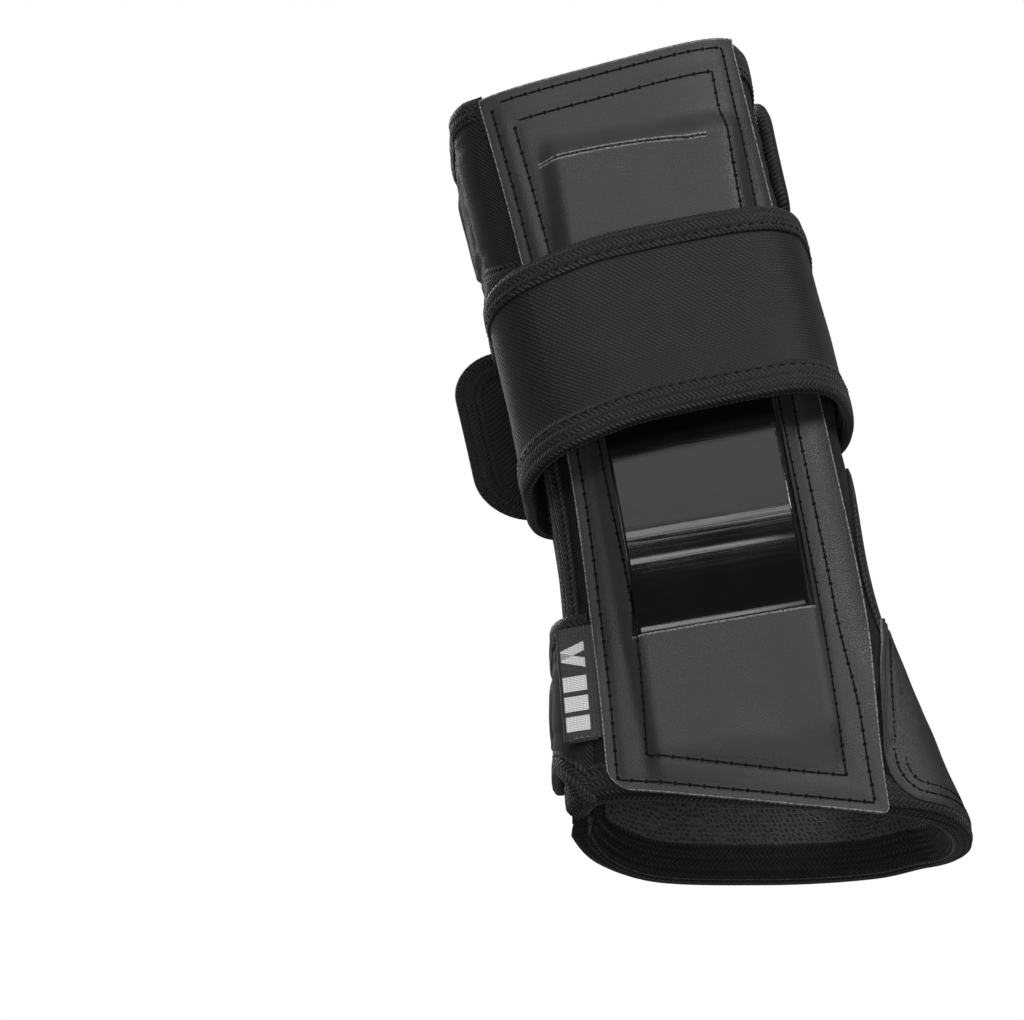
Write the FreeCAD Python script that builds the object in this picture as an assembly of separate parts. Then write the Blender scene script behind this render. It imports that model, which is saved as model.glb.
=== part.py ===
import FreeCAD
import Part

import math
import os

# Left-hand wrist guard for skating and snowboarding: a padded nylon sleeve that wraps the
# forearm and the palm, with a bowed plastic splint in a leather panel on the palm side, a
# flat stay on the back of the hand, an elastic wrist strap and two hook-and-loop flaps.
#
# Millimetres. The origin is in the middle of the wrist, level with the wrist strap.
# +Z runs to the elbow, -Y out of the palm, +X to the thumb.
#
# Everything sewn follows one body section. A place on it is an angle, a height and an
# offset outwards: 180 is the little finger side, 270 the palm, 360 the thumb side, and
# 450 the back of the hand.

# Outline of the body
FOREARM_EDGE = 73.0
FINGER_EDGE = -133.0
FINGER_SLOPE = 0.24
PALM_DEPTH = 27.0
SIDE_FULLNESS = 0.3
PALM_FLATNESS = 0.5
BACK_FLATNESS = 0.3
HALF_WIDTHS = [
    (-170, 53.5), (-145, 51.3), (-130, 49.0), (-115, 46.6), (-100, 43.9), (-80, 41.0), (-60, 39.7),
    (-20, 38.5), (30, 38.0), (90, 38.8),
]
CENTRES = [(-170, 7.5), (-145, 5.4), (-120, 3.4), (-95, 2.8), (-50, 3.5), (-20, 2.6), (20, 0.2), (65, -2.3), (90, -2.8)]
BACK_DEPTHS = [(-170, 28.0), (-133, 26.8), (-60, 25.4), (-20, 26.2), (30, 28.2), (90, 30.2)]
PALM_EDGE_ANGLE = 205.0
BACK_EDGE_ANGLE = 517.0

# Laminate of the body, as offsets from its outer face
SHELL = (-1.0, 0.0)
FOAM = (-4.0, -1.05)
LINING = (-4.8, -4.05)
GAP = 0.05
TAPE = 0.6
TAPE_WIDTH = 9.0

# Thumb hole
THUMB_HEIGHT = -75.0
THUMB_REACH = 31.0
THUMB_DEPTH = 15.0
THUMB_TAPE_WIDTH = 6.0

# Stay on the back of the hand
STAY_WIDTH = 30.0
STAY_HEIGHTS = (-100.0, 48.0)
STAY = (-2.95, -1.1)

# Leather panel on the palm
PANEL_LEFT = [(-150, -35.5), (-122, -33.0), (-84, -30.0), (-35, -27.5), (33, -30.5), (73, -34.0)]
PANEL_RIGHT = [(-150, 35.5), (-128, 36.0), (-84, 38.5), (-35, 37.5), (33, 34.5), (73, 33.0)]
BASE = (0.1, 0.7)
PANEL = (0.8, 1.95)
PANEL_ABOVE_HEM = 3.5
SPLINT_CENTRE = 3.5
WINDOW_HALF_WIDTH = 23.0
WINDOW = (-80.0, -6.0)
POCKET_HALF_WIDTH = 24.5
POCKET_WALL = 1.2
POCKET_LEATHER = (6.6, 7.8)
UPPER_POCKET = (-6.0, 51.0)
LOWER_POCKET = (-135.0, -82.5)
POCKET_ABOVE_HEM = 11.5
SLIT_HEIGHT = 1.0

# Splint in the palm
SPLINT_WIDTH = 42.0
SPLINT_THICKNESS = 2.4
SPLINT_REST = 2.35
SPLINT_HEIGHTS = (-113.0, 42.0)
SPLINT_CORNER = 9.0
SPLINT_BOW = [
    (-120, 0.0), (-86, 0.0), (-82, 0.4), (-77, 4.4), (-70, 9.8), (-63, 12.0),
    (-56, 11.2), (-42, 7.4), (-24, 2.2), (-10, 0.0), (60, 0.0),
]

# Elastic wrist strap. Its sewn end lies on the back of the hand, it passes the little
# finger side, the palm and the thumb side, and its free end closes over the back.
STRAP_HEIGHTS = (-28.5, 23.5)
STRAP_THICKNESS = 1.6
STRAP_START = 118.0
STRAP_HINGE = 345.0
STRAP_RISE = [(100, 2.4), (185, 2.4), (233, 8.6), (306, 8.6), (340, 3.2), (360, 3.2)]
STRAP_LIFT = [(-40, 3.4), (-24, 3.0), (-8, 0.6), (6, 0.0), (40, 0.0)]
STRAP_LIFT_ACROSS = [(100, 0.0), (215, 0.0), (240, 1.0), (300, 1.0), (325, 0.0), (360, 0.0)]
TONGUE_RISE = [(340, 3.2), (380, 3.0), (446, 3.0), (475, 5.8), (500, 5.8)]
TONGUE_END = 478.0
TONGUE_TAIL = 31.5
TONGUE_CORNER = 11.0
TONGUE_HOOK_ANGLES = (418.0, 462.0)
HOOK_THICKNESS = 1.0
LABEL_ACROSS = (-43.3, 28.0)
LABEL_HEIGHTS = (-16.0, 13.8)
LABEL_THICKNESS = 0.9

# Hook-and-loop flaps over the back of the hand
LOOP_ACROSS = (-29.0, 27.0)
LOOP = (0.1, 1.6)
FLAP_THICKNESS = 2.4
FLAP_RISE = [(0, 3.0), (146, 3.0), (166, 1.5), (210, 1.5)]
FLAP_ROOT_ANGLE = 206.0
FLAP_HOOK_ANGLES = (66.0, 138.0)
UPPER_FLAP = [(35.5, 73.6), (35.5, 36.5), (-9.0, 35.8), (-37.0, 28.5), (-70.0, 28.5), (-70.0, 73.6)]
LOWER_FLAP = [
    (35.0, -55.5), (33.5, -87.5), (-6.0, -94.0), (-31.0, -100.5), (-48.0, -108.0), (-70.0, -108.0),
    (-70.0, -73.0), (-48.0, -73.0), (-20.0, -64.2),
]
FLAP_CORNER = 10.0

# Leather on the web between thumb and finger
PATCH = (0.7, 1.9)
PATCH_PALM = [(43.8, -87.0), (41.5, -98.0), (39.6, -122.0), (41.5, -131.5), (70.0, -139.5), (70.0, -85.0)]
PATCH_BACK = [(47.0, -97.0), (40.0, -115.0), (41.0, -125.0), (48.0, -132.5), (70.0, -140.0), (70.0, -97.0)]

# Side tab
TAB_HEIGHTS = (-106.0, -77.0)
TAB_REACH = 13.0
TAB_THICKNESS = 0.8

SECTION_PITCH = 10.0
FAR = 200.0


def along(place, stations):
    """Smooth value at a place, from (place, value) stations, without overshoot."""
    rows = sorted(stations)
    if place <= rows[0][0]:
        return rows[0][1]
    if place >= rows[-1][0]:
        return rows[-1][1]
    steps = [(q[1] - p[1]) / (q[0] - p[0]) for p, q in zip(rows, rows[1:])]
    slopes = [steps[0]]
    for before, after in zip(steps, steps[1:]):
        same_way = before * after > 0
        slopes.append(2 * before * after / (before + after) if same_way else 0.0)
    slopes.append(steps[-1])
    i = max(k for k in range(len(steps)) if rows[k][0] <= place)
    width = rows[i + 1][0] - rows[i][0]
    t = (place - rows[i][0]) / width
    return (
        (2 * t**3 - 3 * t**2 + 1) * rows[i][1]
        + (t**3 - 2 * t**2 + t) * width * slopes[i]
        + (3 * t**2 - 2 * t**3) * rows[i + 1][1]
        + (t**3 - t**2) * width * slopes[i + 1]
    )


def body_point(angle, height, out):
    """Point of the body at an angle and a height, moved outwards."""
    turn = math.radians(angle)
    c = math.cos(turn)
    s = math.sin(turn)
    wide = along(height, HALF_WIDTHS)
    on_palm = s < 0
    deep = PALM_DEPTH if on_palm else along(height, BACK_DEPTHS)
    flat = PALM_FLATNESS if on_palm else BACK_FLATNESS
    x = along(height, CENTRES) + wide * c * (1 + SIDE_FULLNESS * s * s)
    y = deep * s * (1 + flat * c * c)
    dx = wide * (-s - SIDE_FULLNESS * s**3 + 2 * SIDE_FULLNESS * s * c * c)
    dy = deep * (c + flat * c**3 - 2 * flat * s * s * c)
    size = math.hypot(dx, dy)
    return FreeCAD.Vector(x + out * dy / size, y - out * dx / size, height)


def angle_at(x, height, low, high):
    """Angle between low and high where the body is at x."""
    rising = body_point(high, height, 0).x > body_point(low, height, 0).x
    for _ in range(40):
        middle = (low + high) / 2
        if (body_point(middle, height, 0).x < x) == rising:
            low = middle
        else:
            high = middle
    return (low + high) / 2


def palm_angle(x, height):
    return angle_at(x, height, 181.0, 359.0)


def back_angle(x, height):
    return angle_at(x, height, 1.0, 179.0)


def value(given, *place):
    return given(*place) if callable(given) else given


def levels(low, high):
    """Heights of the sections of a sheet."""
    count = 3 + int((high - low) / SECTION_PITCH)
    return [low + (high - low) * k / count for k in range(count + 1)]


def curve(points):
    spline = Part.BSplineCurve()
    count = len(points) - 1
    spline.interpolate(Points=points, Parameters=[i / count for i in range(count + 1)])
    return spline.toShape()


def outline(inside, outside):
    """Closed wire round the section of a sheet."""
    return Part.Wire([
        curve(inside),
        Part.makeLine(inside[-1], outside[-1]),
        curve(outside[::-1]),
        Part.makeLine(outside[0], inside[0]),
    ])


def sheet(start, end, low, high, inner, outer, points=33):
    """Solid that follows the body from one angle to another between two heights and two offsets."""
    wires = []
    for height in levels(low, high):
        first = value(start, height)
        last = value(end, height)
        angles = [first + (last - first) * i / (points - 1) for i in range(points)]
        inside = [body_point(a, height, value(inner, a, height)) for a in angles]
        outside = [body_point(a, height, value(outer, a, height)) for a in angles]
        wires.append(outline(inside, outside))
    return Part.makeLoft(wires, True, False)


def prism(corners, front=-FAR, back=FAR):
    """Block with the given (x, z) outline, from one y to another."""
    points = [FreeCAD.Vector(x, front, z) for x, z in corners]
    face = Part.Face(Part.makePolygon(points + points[:1]))
    return face.extrude(FreeCAD.Vector(0, back - front, 0))


def rounded(block, radius, picked):
    """Block with the edges along Y rounded where picked(x, z) says so."""
    edges = []
    for edge in block.Edges:
        a, b = (v.Point for v in edge.Vertexes)
        if abs(a.x - b.x) < 1e-6 and abs(a.z - b.z) < 1e-6 and picked(a.x, a.z):
            edges.append(edge)
    return block.makeFillet(radius, edges)


def slab(low, high):
    return prism([(-FAR, low), (FAR, low), (FAR, high), (-FAR, high)])


def hem_height(x, above):
    return FINGER_EDGE + above - FINGER_SLOPE * x


def past_hem(above):
    """Everything past the slanting finger edge, moved up by above."""
    return prism([
        (-FAR, hem_height(-FAR, above)), (FAR, hem_height(FAR, above)),
        (FAR, -2 * FAR), (-FAR, -2 * FAR),
    ])


def thumb_plug(grown):
    """Oval bar through the thumb side, grown all round."""
    oval = Part.Ellipse(FreeCAD.Vector(0, 0, 0), THUMB_REACH + grown, THUMB_DEPTH + grown)
    face = Part.Face(Part.Wire([oval.toShape()]))
    face.rotate(FreeCAD.Vector(0, 0, 0), FreeCAD.Vector(0, 1, 0), 90)
    face.translate(FreeCAD.Vector(5, 0, THUMB_HEIGHT))
    return face.extrude(FreeCAD.Vector(FAR, 0, 0))


def layer(span, grown=0.0):
    """One layer of the sleeve, open along the little finger side and at the thumb."""
    spread = grown / 0.5
    whole = sheet(
        PALM_EDGE_ANGLE - spread, BACK_EDGE_ANGLE + spread,
        FINGER_EDGE - 30, FOREARM_EDGE + grown, span[0], span[1], points=61,
    )
    return whole.cut(past_hem(-grown)).cut(thumb_plug(-grown))


def core():
    """The whole laminate with sewing room, which every edge tape wraps."""
    return layer((LINING[0] - GAP, SHELL[1] + GAP), GAP)


def tape_block(start, end, low, high):
    return sheet(
        start, end, low, high,
        LINING[0] - GAP - TAPE, SHELL[1] + GAP + TAPE, points=61,
    )


def sleeve():
    """Outer nylon, foam with a pocket for the stay, and lining."""
    stay_room = stay(0.1)
    return {
        "outer_shell": layer(SHELL),
        "foam_padding": layer(FOAM).cut(stay_room),
        "lining": layer(LINING),
        "back_stay": stay(0.0),
    }


def stay(grown):
    """Flat stay in the back of the hand."""
    half = STAY_WIDTH / 2 + grown
    return sheet(
        lambda z: 360 + back_angle(half, z), lambda z: 360 + back_angle(-half, z),
        STAY_HEIGHTS[0] - grown, STAY_HEIGHTS[1] + grown, STAY[0] - grown, STAY[1] + grown,
    )


def edge_tapes(wrapped):
    """Folded tapes round the openings and down the two long edges."""
    ends_above = TAPE_WIDTH + 0.2
    finger = tape_block(PALM_EDGE_ANGLE, BACK_EDGE_ANGLE, FINGER_EDGE - 35, FINGER_EDGE + 40)
    finger = finger.cut(past_hem(-GAP - TAPE)).common(past_hem(TAPE_WIDTH)).cut(wrapped)
    top = FOREARM_EDGE + GAP + TAPE
    forearm = tape_block(PALM_EDGE_ANGLE, BACK_EDGE_ANGLE, top - TAPE_WIDTH - TAPE, top).cut(wrapped)
    low = FINGER_EDGE - 10
    high = FOREARM_EDGE - ends_above
    back = tape_block(BACK_EDGE_ANGLE - 14, BACK_EDGE_ANGLE + 1.3, low, high)
    palm = tape_block(PALM_EDGE_ANGLE - 1.3, PALM_EDGE_ANGLE + 14, low, high)
    ring = tape_block(300, 420, THUMB_HEIGHT - 45, THUMB_HEIGHT + 45)
    ring = ring.common(thumb_plug(THUMB_TAPE_WIDTH)).cut(thumb_plug(-GAP - TAPE)).cut(wrapped)
    return {
        "finger_edge_tape": finger,
        "forearm_edge_tape": forearm,
        "back_edge_tape": back.cut(past_hem(ends_above)).cut(wrapped),
        "palm_edge_tape": palm.cut(past_hem(ends_above)).cut(wrapped),
        "thumb_hole_tape": ring,
    }


def on_palm(left, right, low, high, span):
    """Sheet on the palm between two edges given as stations or numbers."""
    def edge(given):
        return lambda z: palm_angle(along(z, given) if isinstance(given, list) else given, z)
    return sheet(edge(left), edge(right), low, high, span[0], span[1])


def splint_block(half_width, low, high):
    """Block through the palm side, centred on the splint."""
    left = SPLINT_CENTRE - half_width
    right = SPLINT_CENTRE + half_width
    return prism([(left, low), (right, low), (right, high), (left, high)], -FAR, 0)


def palm_panel():
    """Backing, leather panel with its window and slit, and the two splint pockets."""
    low = FINGER_EDGE - 15
    backing = on_palm(PANEL_LEFT, PANEL_RIGHT, low, FOREARM_EDGE - TAPE_WIDTH - 0.3, BASE)
    backing = backing.cut(past_hem(TAPE_WIDTH + 0.3)).cut(thumb_plug(THUMB_TAPE_WIDTH + 0.3))
    backing = backing.cut(tape_block(PALM_EDGE_ANGLE - 2, PALM_EDGE_ANGLE + 14.6, low, FOREARM_EDGE))
    leather = on_palm(PANEL_LEFT, PANEL_RIGHT, low, FOREARM_EDGE, PANEL)
    leather = leather.cut(past_hem(PANEL_ABOVE_HEM))
    for low_edge, high_edge in (WINDOW, (UPPER_POCKET[1], UPPER_POCKET[1] + SLIT_HEIGHT)):
        leather = leather.cut(splint_block(WINDOW_HALF_WIDTH, low_edge, high_edge))
    return {
        "palm_backing": backing,
        "palm_panel": leather,
        "upper_pocket": pocket(UPPER_POCKET, False),
        "lower_pocket": pocket(LOWER_POCKET, True),
    }


def pocket(heights, closed_below):
    """Leather sleeve that holds one end of the splint, sewn down at its sides."""
    low, high = heights
    left = SPLINT_CENTRE - POCKET_HALF_WIDTH
    right = SPLINT_CENTRE + POCKET_HALF_WIDTH
    whole = on_palm(left, right, low, high, (PANEL[1] + GAP, POCKET_LEATHER[1]))
    room = on_palm(left + POCKET_WALL, right - POCKET_WALL, low - 1, high + 1, (PANEL[1] - 0.5, POCKET_LEATHER[0]))
    if closed_below:
        whole = whole.cut(past_hem(POCKET_ABOVE_HEM))
        room = room.cut(past_hem(POCKET_ABOVE_HEM + POCKET_WALL))
    return whole.cut(room)


def splint():
    """Bowed plastic plate, flat across, with rounded ends."""
    low, high = SPLINT_HEIGHTS
    count = 64
    heights = [low + (high - low) * i / count for i in range(count + 1)]
    inner = [FreeCAD.Vector(0, -(PALM_DEPTH + SPLINT_REST + along(z, SPLINT_BOW)), z) for z in heights]
    outer = []
    for i, point in enumerate(inner):
        before = inner[max(i - 1, 0)]
        after = inner[min(i + 1, count)]
        rise = FreeCAD.Vector(0, after.y - before.y, after.z - before.z).normalize()
        outer.append(point + FreeCAD.Vector(0, -rise.z, rise.y) * SPLINT_THICKNESS)
    half = SPLINT_WIDTH / 2
    face = Part.Face(outline(inner, outer))
    face.translate(FreeCAD.Vector(SPLINT_CENTRE - half, 0, 0))
    bar = face.extrude(FreeCAD.Vector(SPLINT_WIDTH, 0, 0))
    return bar.common(rounded(splint_block(half, low, high), SPLINT_CORNER, lambda x, z: True))


def strap_inner(angle, height):
    return along(angle, STRAP_RISE) + along(height, STRAP_LIFT) * along(angle, STRAP_LIFT_ACROSS)


def strap_sheet(start, end, low, high, under, over):
    return sheet(
        start, end, low, high,
        lambda a, z: strap_inner(a, z) - under,
        lambda a, z: strap_inner(a, z) + STRAP_THICKNESS + over, points=61,
    )


def strap():
    """The part of the wrist strap that stays put, with a tape along each edge."""
    low, high = STRAP_HEIGHTS
    band = strap_sheet(STRAP_START, STRAP_HINGE, low, high, 0, 0)
    held = strap_sheet(STRAP_START - 2, STRAP_HINGE + 2, low - GAP, high + GAP, GAP, GAP)
    around = strap_sheet(
        STRAP_START + 0.2, STRAP_HINGE - 0.1, low - GAP - TAPE, high + GAP + TAPE, GAP + TAPE, GAP + TAPE,
    ).cut(held)
    return {
        "strap_band": band,
        "strap_lower_tape": around.common(slab(-FAR, low + TAPE_WIDTH)),
        "strap_upper_tape": around.common(slab(high - TAPE_WIDTH, FAR)),
    }


def tongue_sheet(low, high, under, over, past=0.0, start=STRAP_HINGE + 1.2):
    """Free end of the strap: round the thumb side, over the back, then straight on past the edge."""
    def path(height, level):
        count = 60
        angles = [start + (TONGUE_END - start) * i / count for i in range(count + 1)]
        points = [body_point(a, height, along(a, TONGUE_RISE) + level) for a in angles]
        ahead = (points[-1] - points[-2]).normalize()
        reach = TONGUE_TAIL + past
        return points + [points[-1] + ahead * (reach * k / 8) for k in range(1, 9)]
    wires = [outline(path(z, -under), path(z, STRAP_THICKNESS + over)) for z in levels(low, high)]
    return Part.makeLoft(wires, True, False)


def tongue_outline(grown, left):
    """Outline of the tongue seen from the back, with its round corners."""
    low, high = STRAP_HEIGHTS
    block = prism([(left - grown, low - grown), (FAR, low - grown), (FAR, high + grown), (left - grown, high + grown)])
    return rounded(block, TONGUE_CORNER + grown, lambda x, z: x < 0)


def tongue():
    """Free end of the strap with its tape, hook patch and label."""
    low, high = STRAP_HEIGHTS
    left = tongue_sheet(low, high, 0, 0).BoundBox.XMin + 0.4
    band = tongue_sheet(low, high, 0, 0).common(tongue_outline(0, left))
    edge = GAP + TAPE
    around = tongue_sheet(low - edge, high + edge, edge, edge, past=1.0)
    around = around.common(tongue_outline(edge, left))
    middle = tongue_outline(-TAPE_WIDTH, left)
    held = tongue_sheet(low - 1, high + 1, GAP, GAP, past=2.0, start=STRAP_HINGE)
    held = held.common(tongue_outline(GAP, left))
    first, last = TONGUE_HOOK_ANGLES
    hook = sheet(
        first, last, low + TAPE_WIDTH + 0.5, high - TAPE_WIDTH - 0.5,
        lambda a, z: along(a, TONGUE_RISE) - GAP - HOOK_THICKNESS,
        lambda a, z: along(a, TONGUE_RISE) - GAP,
    )
    x0, x1 = LABEL_ACROSS
    z0, z1 = LABEL_HEIGHTS
    label = tongue_sheet(low, high, -STRAP_THICKNESS - 2 * GAP, LABEL_THICKNESS)
    label = label.common(prism([(x0, z0), (x1, z0), (x1, z1), (x0, z1)], 0, FAR))
    return {
        "strap_tongue": band,
        "tongue_tape": around.cut(middle).cut(held),
        "tongue_hook": hook,
        "label_patch": label,
    }


def flap_sheet(low, high, under, over, root):
    return sheet(
        0.0, root, low, high,
        lambda a, z: along(a, FLAP_RISE) - under,
        lambda a, z: along(a, FLAP_RISE) + FLAP_THICKNESS + over, points=61,
    )


def flap_block(corners, grown):
    """Outline of a flap, rounded at its free end, and grown or shrunk all round."""
    block = rounded(prism(corners), FLAP_CORNER, lambda x, z: x > 20)
    if grown == 0:
        return block
    face = min(block.Faces, key=lambda f: f.CenterOfMass.y)
    wire = face.OuterWire.makeOffset2D(grown)
    return Part.Face(wire).extrude(FreeCAD.Vector(0, 2 * FAR, 0))


def flap(corners):
    """One closing flap: padded fabric, folded tape round it, and its hook patch."""
    low = min(z for _, z in corners) - 3
    high = max(z for _, z in corners) + 3
    edge = GAP + TAPE
    panel = flap_sheet(low, high, 0, 0, FLAP_ROOT_ANGLE).common(flap_block(corners, 0))
    around = flap_sheet(low, high, edge, edge, FLAP_ROOT_ANGLE).common(flap_block(corners, edge))
    held = flap_sheet(low, high, GAP, GAP, FLAP_ROOT_ANGLE + 1).common(flap_block(corners, GAP))
    tape = around.cut(flap_block(corners, -TAPE_WIDTH)).cut(held)
    first, last = FLAP_HOOK_ANGLES
    hook = sheet(
        first, last, low, high,
        lambda a, z: along(a, FLAP_RISE) - GAP - HOOK_THICKNESS,
        lambda a, z: along(a, FLAP_RISE) - GAP,
    ).common(flap_block(corners, -TAPE_WIDTH - 0.5))
    return panel, tape, hook


def loop_panel():
    """Long loop panel down the back of the hand."""
    whole = sheet(
        lambda z: back_angle(LOOP_ACROSS[1], z), lambda z: back_angle(LOOP_ACROSS[0], z),
        FINGER_EDGE - 10, FOREARM_EDGE - TAPE_WIDTH - 0.5, LOOP[0], LOOP[1],
    )
    whole = whole.cut(past_hem(TAPE_WIDTH + 0.4)).cut(thumb_plug(THUMB_TAPE_WIDTH + 0.3))
    back_tape = tape_block(BACK_EDGE_ANGLE - 14.6, BACK_EDGE_ANGLE + 2, FINGER_EDGE - 15, FOREARM_EDGE)
    return whole.cut(back_tape)


def thumb_patch():
    """Leather wrapped round the web between thumb and finger, from the palm to the back."""
    whole = sheet(285, 435, FINGER_EDGE - 25, -85, PATCH[0], PATCH[1], points=61)
    palm_side = whole.common(prism(PATCH_PALM, -FAR, 0))
    back_side = whole.common(prism(PATCH_BACK, 0, FAR))
    return palm_side.fuse(back_side).removeSplitter().cut(thumb_plug(1.5)).cut(past_hem(TAPE_WIDTH - 1))


def side_tab():
    """Folded woven tab that stands out of the little finger edge of the panel."""
    low, high = TAB_HEIGHTS
    middle = (low + high) / 2
    angle = palm_angle(along(middle, PANEL_LEFT), middle) - 3.5
    foot = body_point(angle, middle, PANEL[0] + 0.1)
    ahead = (body_point(angle - 8, middle, 5.0) - foot).normalize()
    across = FreeCAD.Vector(-ahead.y, ahead.x, 0) * TAB_THICKNESS
    start = FreeCAD.Vector(foot.x, foot.y, low)
    corners = [start, start + ahead * TAB_REACH, start + ahead * TAB_REACH + across, start + across]
    return Part.Face(Part.makePolygon(corners + corners[:1])).extrude(FreeCAD.Vector(0, 0, high - low))


def main():
    nodes = {}
    wrapped = core()
    nodes.update(sleeve())
    nodes.update(edge_tapes(wrapped))
    nodes.update(palm_panel())
    nodes["palm_splint"] = splint()
    nodes.update(strap())
    nodes.update(tongue())
    nodes["loop_panel"] = loop_panel()
    for name, corners in (("upper_flap", UPPER_FLAP), ("lower_flap", LOWER_FLAP)):
        nodes[name], nodes[name + "_tape"], nodes[name + "_hook"] = flap(corners)
    nodes["thumb_patch"] = thumb_patch()
    nodes["side_tab"] = side_tab()
    os.makedirs("parts", exist_ok=True)
    for name, shape in nodes.items():
        print(name, len(shape.Solids), "solids", round(shape.Volume), "mm3", "" if shape.isValid() else "NOT VALID")
        shape.exportStep("parts/" + name + ".step")


main()
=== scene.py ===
import math

import bmesh
import bpy
import numpy as np
from mathutils import Matrix, Vector


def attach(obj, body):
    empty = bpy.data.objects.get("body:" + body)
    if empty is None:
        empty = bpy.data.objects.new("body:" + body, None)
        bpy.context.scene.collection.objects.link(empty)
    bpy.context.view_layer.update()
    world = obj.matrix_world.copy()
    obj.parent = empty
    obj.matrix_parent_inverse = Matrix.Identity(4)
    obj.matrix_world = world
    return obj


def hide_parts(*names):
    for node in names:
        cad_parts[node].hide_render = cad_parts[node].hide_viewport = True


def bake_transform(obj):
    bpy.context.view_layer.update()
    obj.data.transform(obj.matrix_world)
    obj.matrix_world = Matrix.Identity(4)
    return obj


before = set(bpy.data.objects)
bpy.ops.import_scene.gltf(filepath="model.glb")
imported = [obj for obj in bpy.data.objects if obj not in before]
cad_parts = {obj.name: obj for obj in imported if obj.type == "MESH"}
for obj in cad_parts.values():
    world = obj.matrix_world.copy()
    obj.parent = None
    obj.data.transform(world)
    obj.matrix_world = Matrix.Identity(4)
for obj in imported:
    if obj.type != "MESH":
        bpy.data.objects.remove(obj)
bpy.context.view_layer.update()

mm = 0.001

# The sleeve's section. A place on it is an angle, a height and a distance outwards in mm:
# 180 is the little finger side, 270 the palm, 360 the thumb side, 450 the back of the hand.
body = {
    "halfWidths": [(-170, 53.5), (-145, 51.3), (-130, 49.0), (-115, 46.6), (-100, 43.9), (-80, 41.0),
                   (-60, 39.7), (-20, 38.5), (30, 38.0), (90, 38.8)],
    "centres": [(-170, 7.5), (-145, 5.4), (-120, 3.4), (-95, 2.8), (-50, 3.5), (-20, 2.6), (20, 0.2),
                (65, -2.3), (90, -2.8)],
    "backDepths": [(-170, 28.0), (-133, 26.8), (-60, 25.4), (-20, 26.2), (30, 28.2), (90, 30.2)],
    "palmDepth": 27.0,
    "sideFullness": 0.3,
    "palmFlatness": 0.5,
    "backFlatness": 0.3,
    "top": 73.4,
    "topSlope": 0.1,
    "topDrop": 6.5,
    "hemLift": [(205, 1.5), (222, 3.5), (250, 5), (310, 5), (345, 4.5), (385, 5.5), (405, 5), (425, 2),
                (450, -1), (475, -2.5), (497, 0), (517, 4)],
    "hem": -133.0,
    "hemSlope": 0.24,
    "palmEdge": 205.0,
    "backEdge": 517.0,
}


def smoothLine(stations):
    # reads a value anywhere along (place, value) stations, smoothly and without overshoot
    knots = np.array(sorted(stations), float)
    step = np.diff(knots[:, 1]) / np.diff(knots[:, 0])
    slope = np.concatenate([step[:1], np.zeros(len(step) - 1), step[-1:]])
    sameWay = step[:-1] * step[1:] > 0
    slope[1:-1][sameWay] = 2 * step[:-1][sameWay] * step[1:][sameWay] / (step[:-1] + step[1:])[sameWay]

    def read(place):
        place = np.clip(np.asarray(place, float), knots[0, 0], knots[-1, 0])
        i = np.clip(np.searchsorted(knots[:, 0], place, "right") - 1, 0, len(step) - 1)
        width = knots[i + 1, 0] - knots[i, 0]
        t = (place - knots[i, 0]) / width
        return ((2 * t**3 - 3 * t**2 + 1) * knots[i, 1] + (t**3 - 2 * t**2 + t) * width * slope[i]
                + (3 * t**2 - 2 * t**3) * knots[i + 1, 1] + (t**3 - t**2) * width * slope[i + 1])
    return read


halfWidth = smoothLine(body["halfWidths"])
centre = smoothLine(body["centres"])
backDepth = smoothLine(body["backDepths"])


def onBody(angle, z, out):
    angle, z, out = np.broadcast_arrays(*(np.asarray(v, float) for v in (angle, z, out)))
    c = np.cos(np.radians(angle))
    s = np.sin(np.radians(angle))
    wide = halfWidth(z)
    deep = np.where(s < 0, body["palmDepth"], backDepth(z))
    flat = np.where(s < 0, body["palmFlatness"], body["backFlatness"])
    full = body["sideFullness"]
    x = centre(z) + wide * c * (1 + full * s * s)
    y = deep * s * (1 + flat * c * c)
    dx = wide * (-s - full * s**3 + 2 * full * s * c * c)
    dy = deep * (c + flat * c**3 - 2 * flat * s * s * c)
    size = np.hypot(dx, dy)
    return np.stack([x + out * dy / size, y - out * dx / size, z], -1)


def angleAt(value, z, low, high, axis=0):
    # the angle between low and high where the body has this x (or y, with axis 1)
    value, z = np.broadcast_arrays(np.asarray(value, float), np.asarray(z, float))
    low = np.full(value.shape, float(low))
    high = np.full(value.shape, float(high))
    rising = onBody(high, z, 0)[..., axis] > onBody(low, z, 0)[..., axis]
    for _ in range(32):
        middle = (low + high) / 2
        before = (onBody(middle, z, 0)[..., axis] < value) == rising
        low = np.where(before, middle, low)
        high = np.where(before, high, middle)
    return (low + high) / 2


def palmAngle(x, z):
    return angleAt(x, z, 181, 359)


def backAngle(x, z):
    return angleAt(x, z, 361, 539)


def hemHeight(x, above=0.0):
    return body["hem"] + above - body["hemSlope"] * x


def topHeight(x):
    return body["top"] + body["topSlope"] * x - body["topDrop"] * ease((-33 - x) / 8)


def ease(t):
    t = np.clip(t, 0, 1)
    return t * t * (3 - 2 * t)


def ripple(u, v, seed, pitch=20.0, count=7):
    # soft unevenness, from -1 to 1: a few sine waves in seeded directions
    rng = np.random.default_rng(seed)
    total = 0
    for _ in range(count):
        turn = rng.uniform(0, 2 * math.pi)
        length = pitch * rng.uniform(0.6, 1.6)
        phase = rng.uniform(0, 2 * math.pi)
        total = total + np.sin(2 * math.pi * (u * math.cos(turn) + v * math.sin(turn)) / length + phase)
    return total / count


def cornerInset(distance, radius):
    # how far a round corner draws the edge in, this far from the end
    rest = np.clip(radius - distance, 0, radius)
    return radius - np.sqrt(np.maximum(radius**2 - rest**2, 0))


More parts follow.
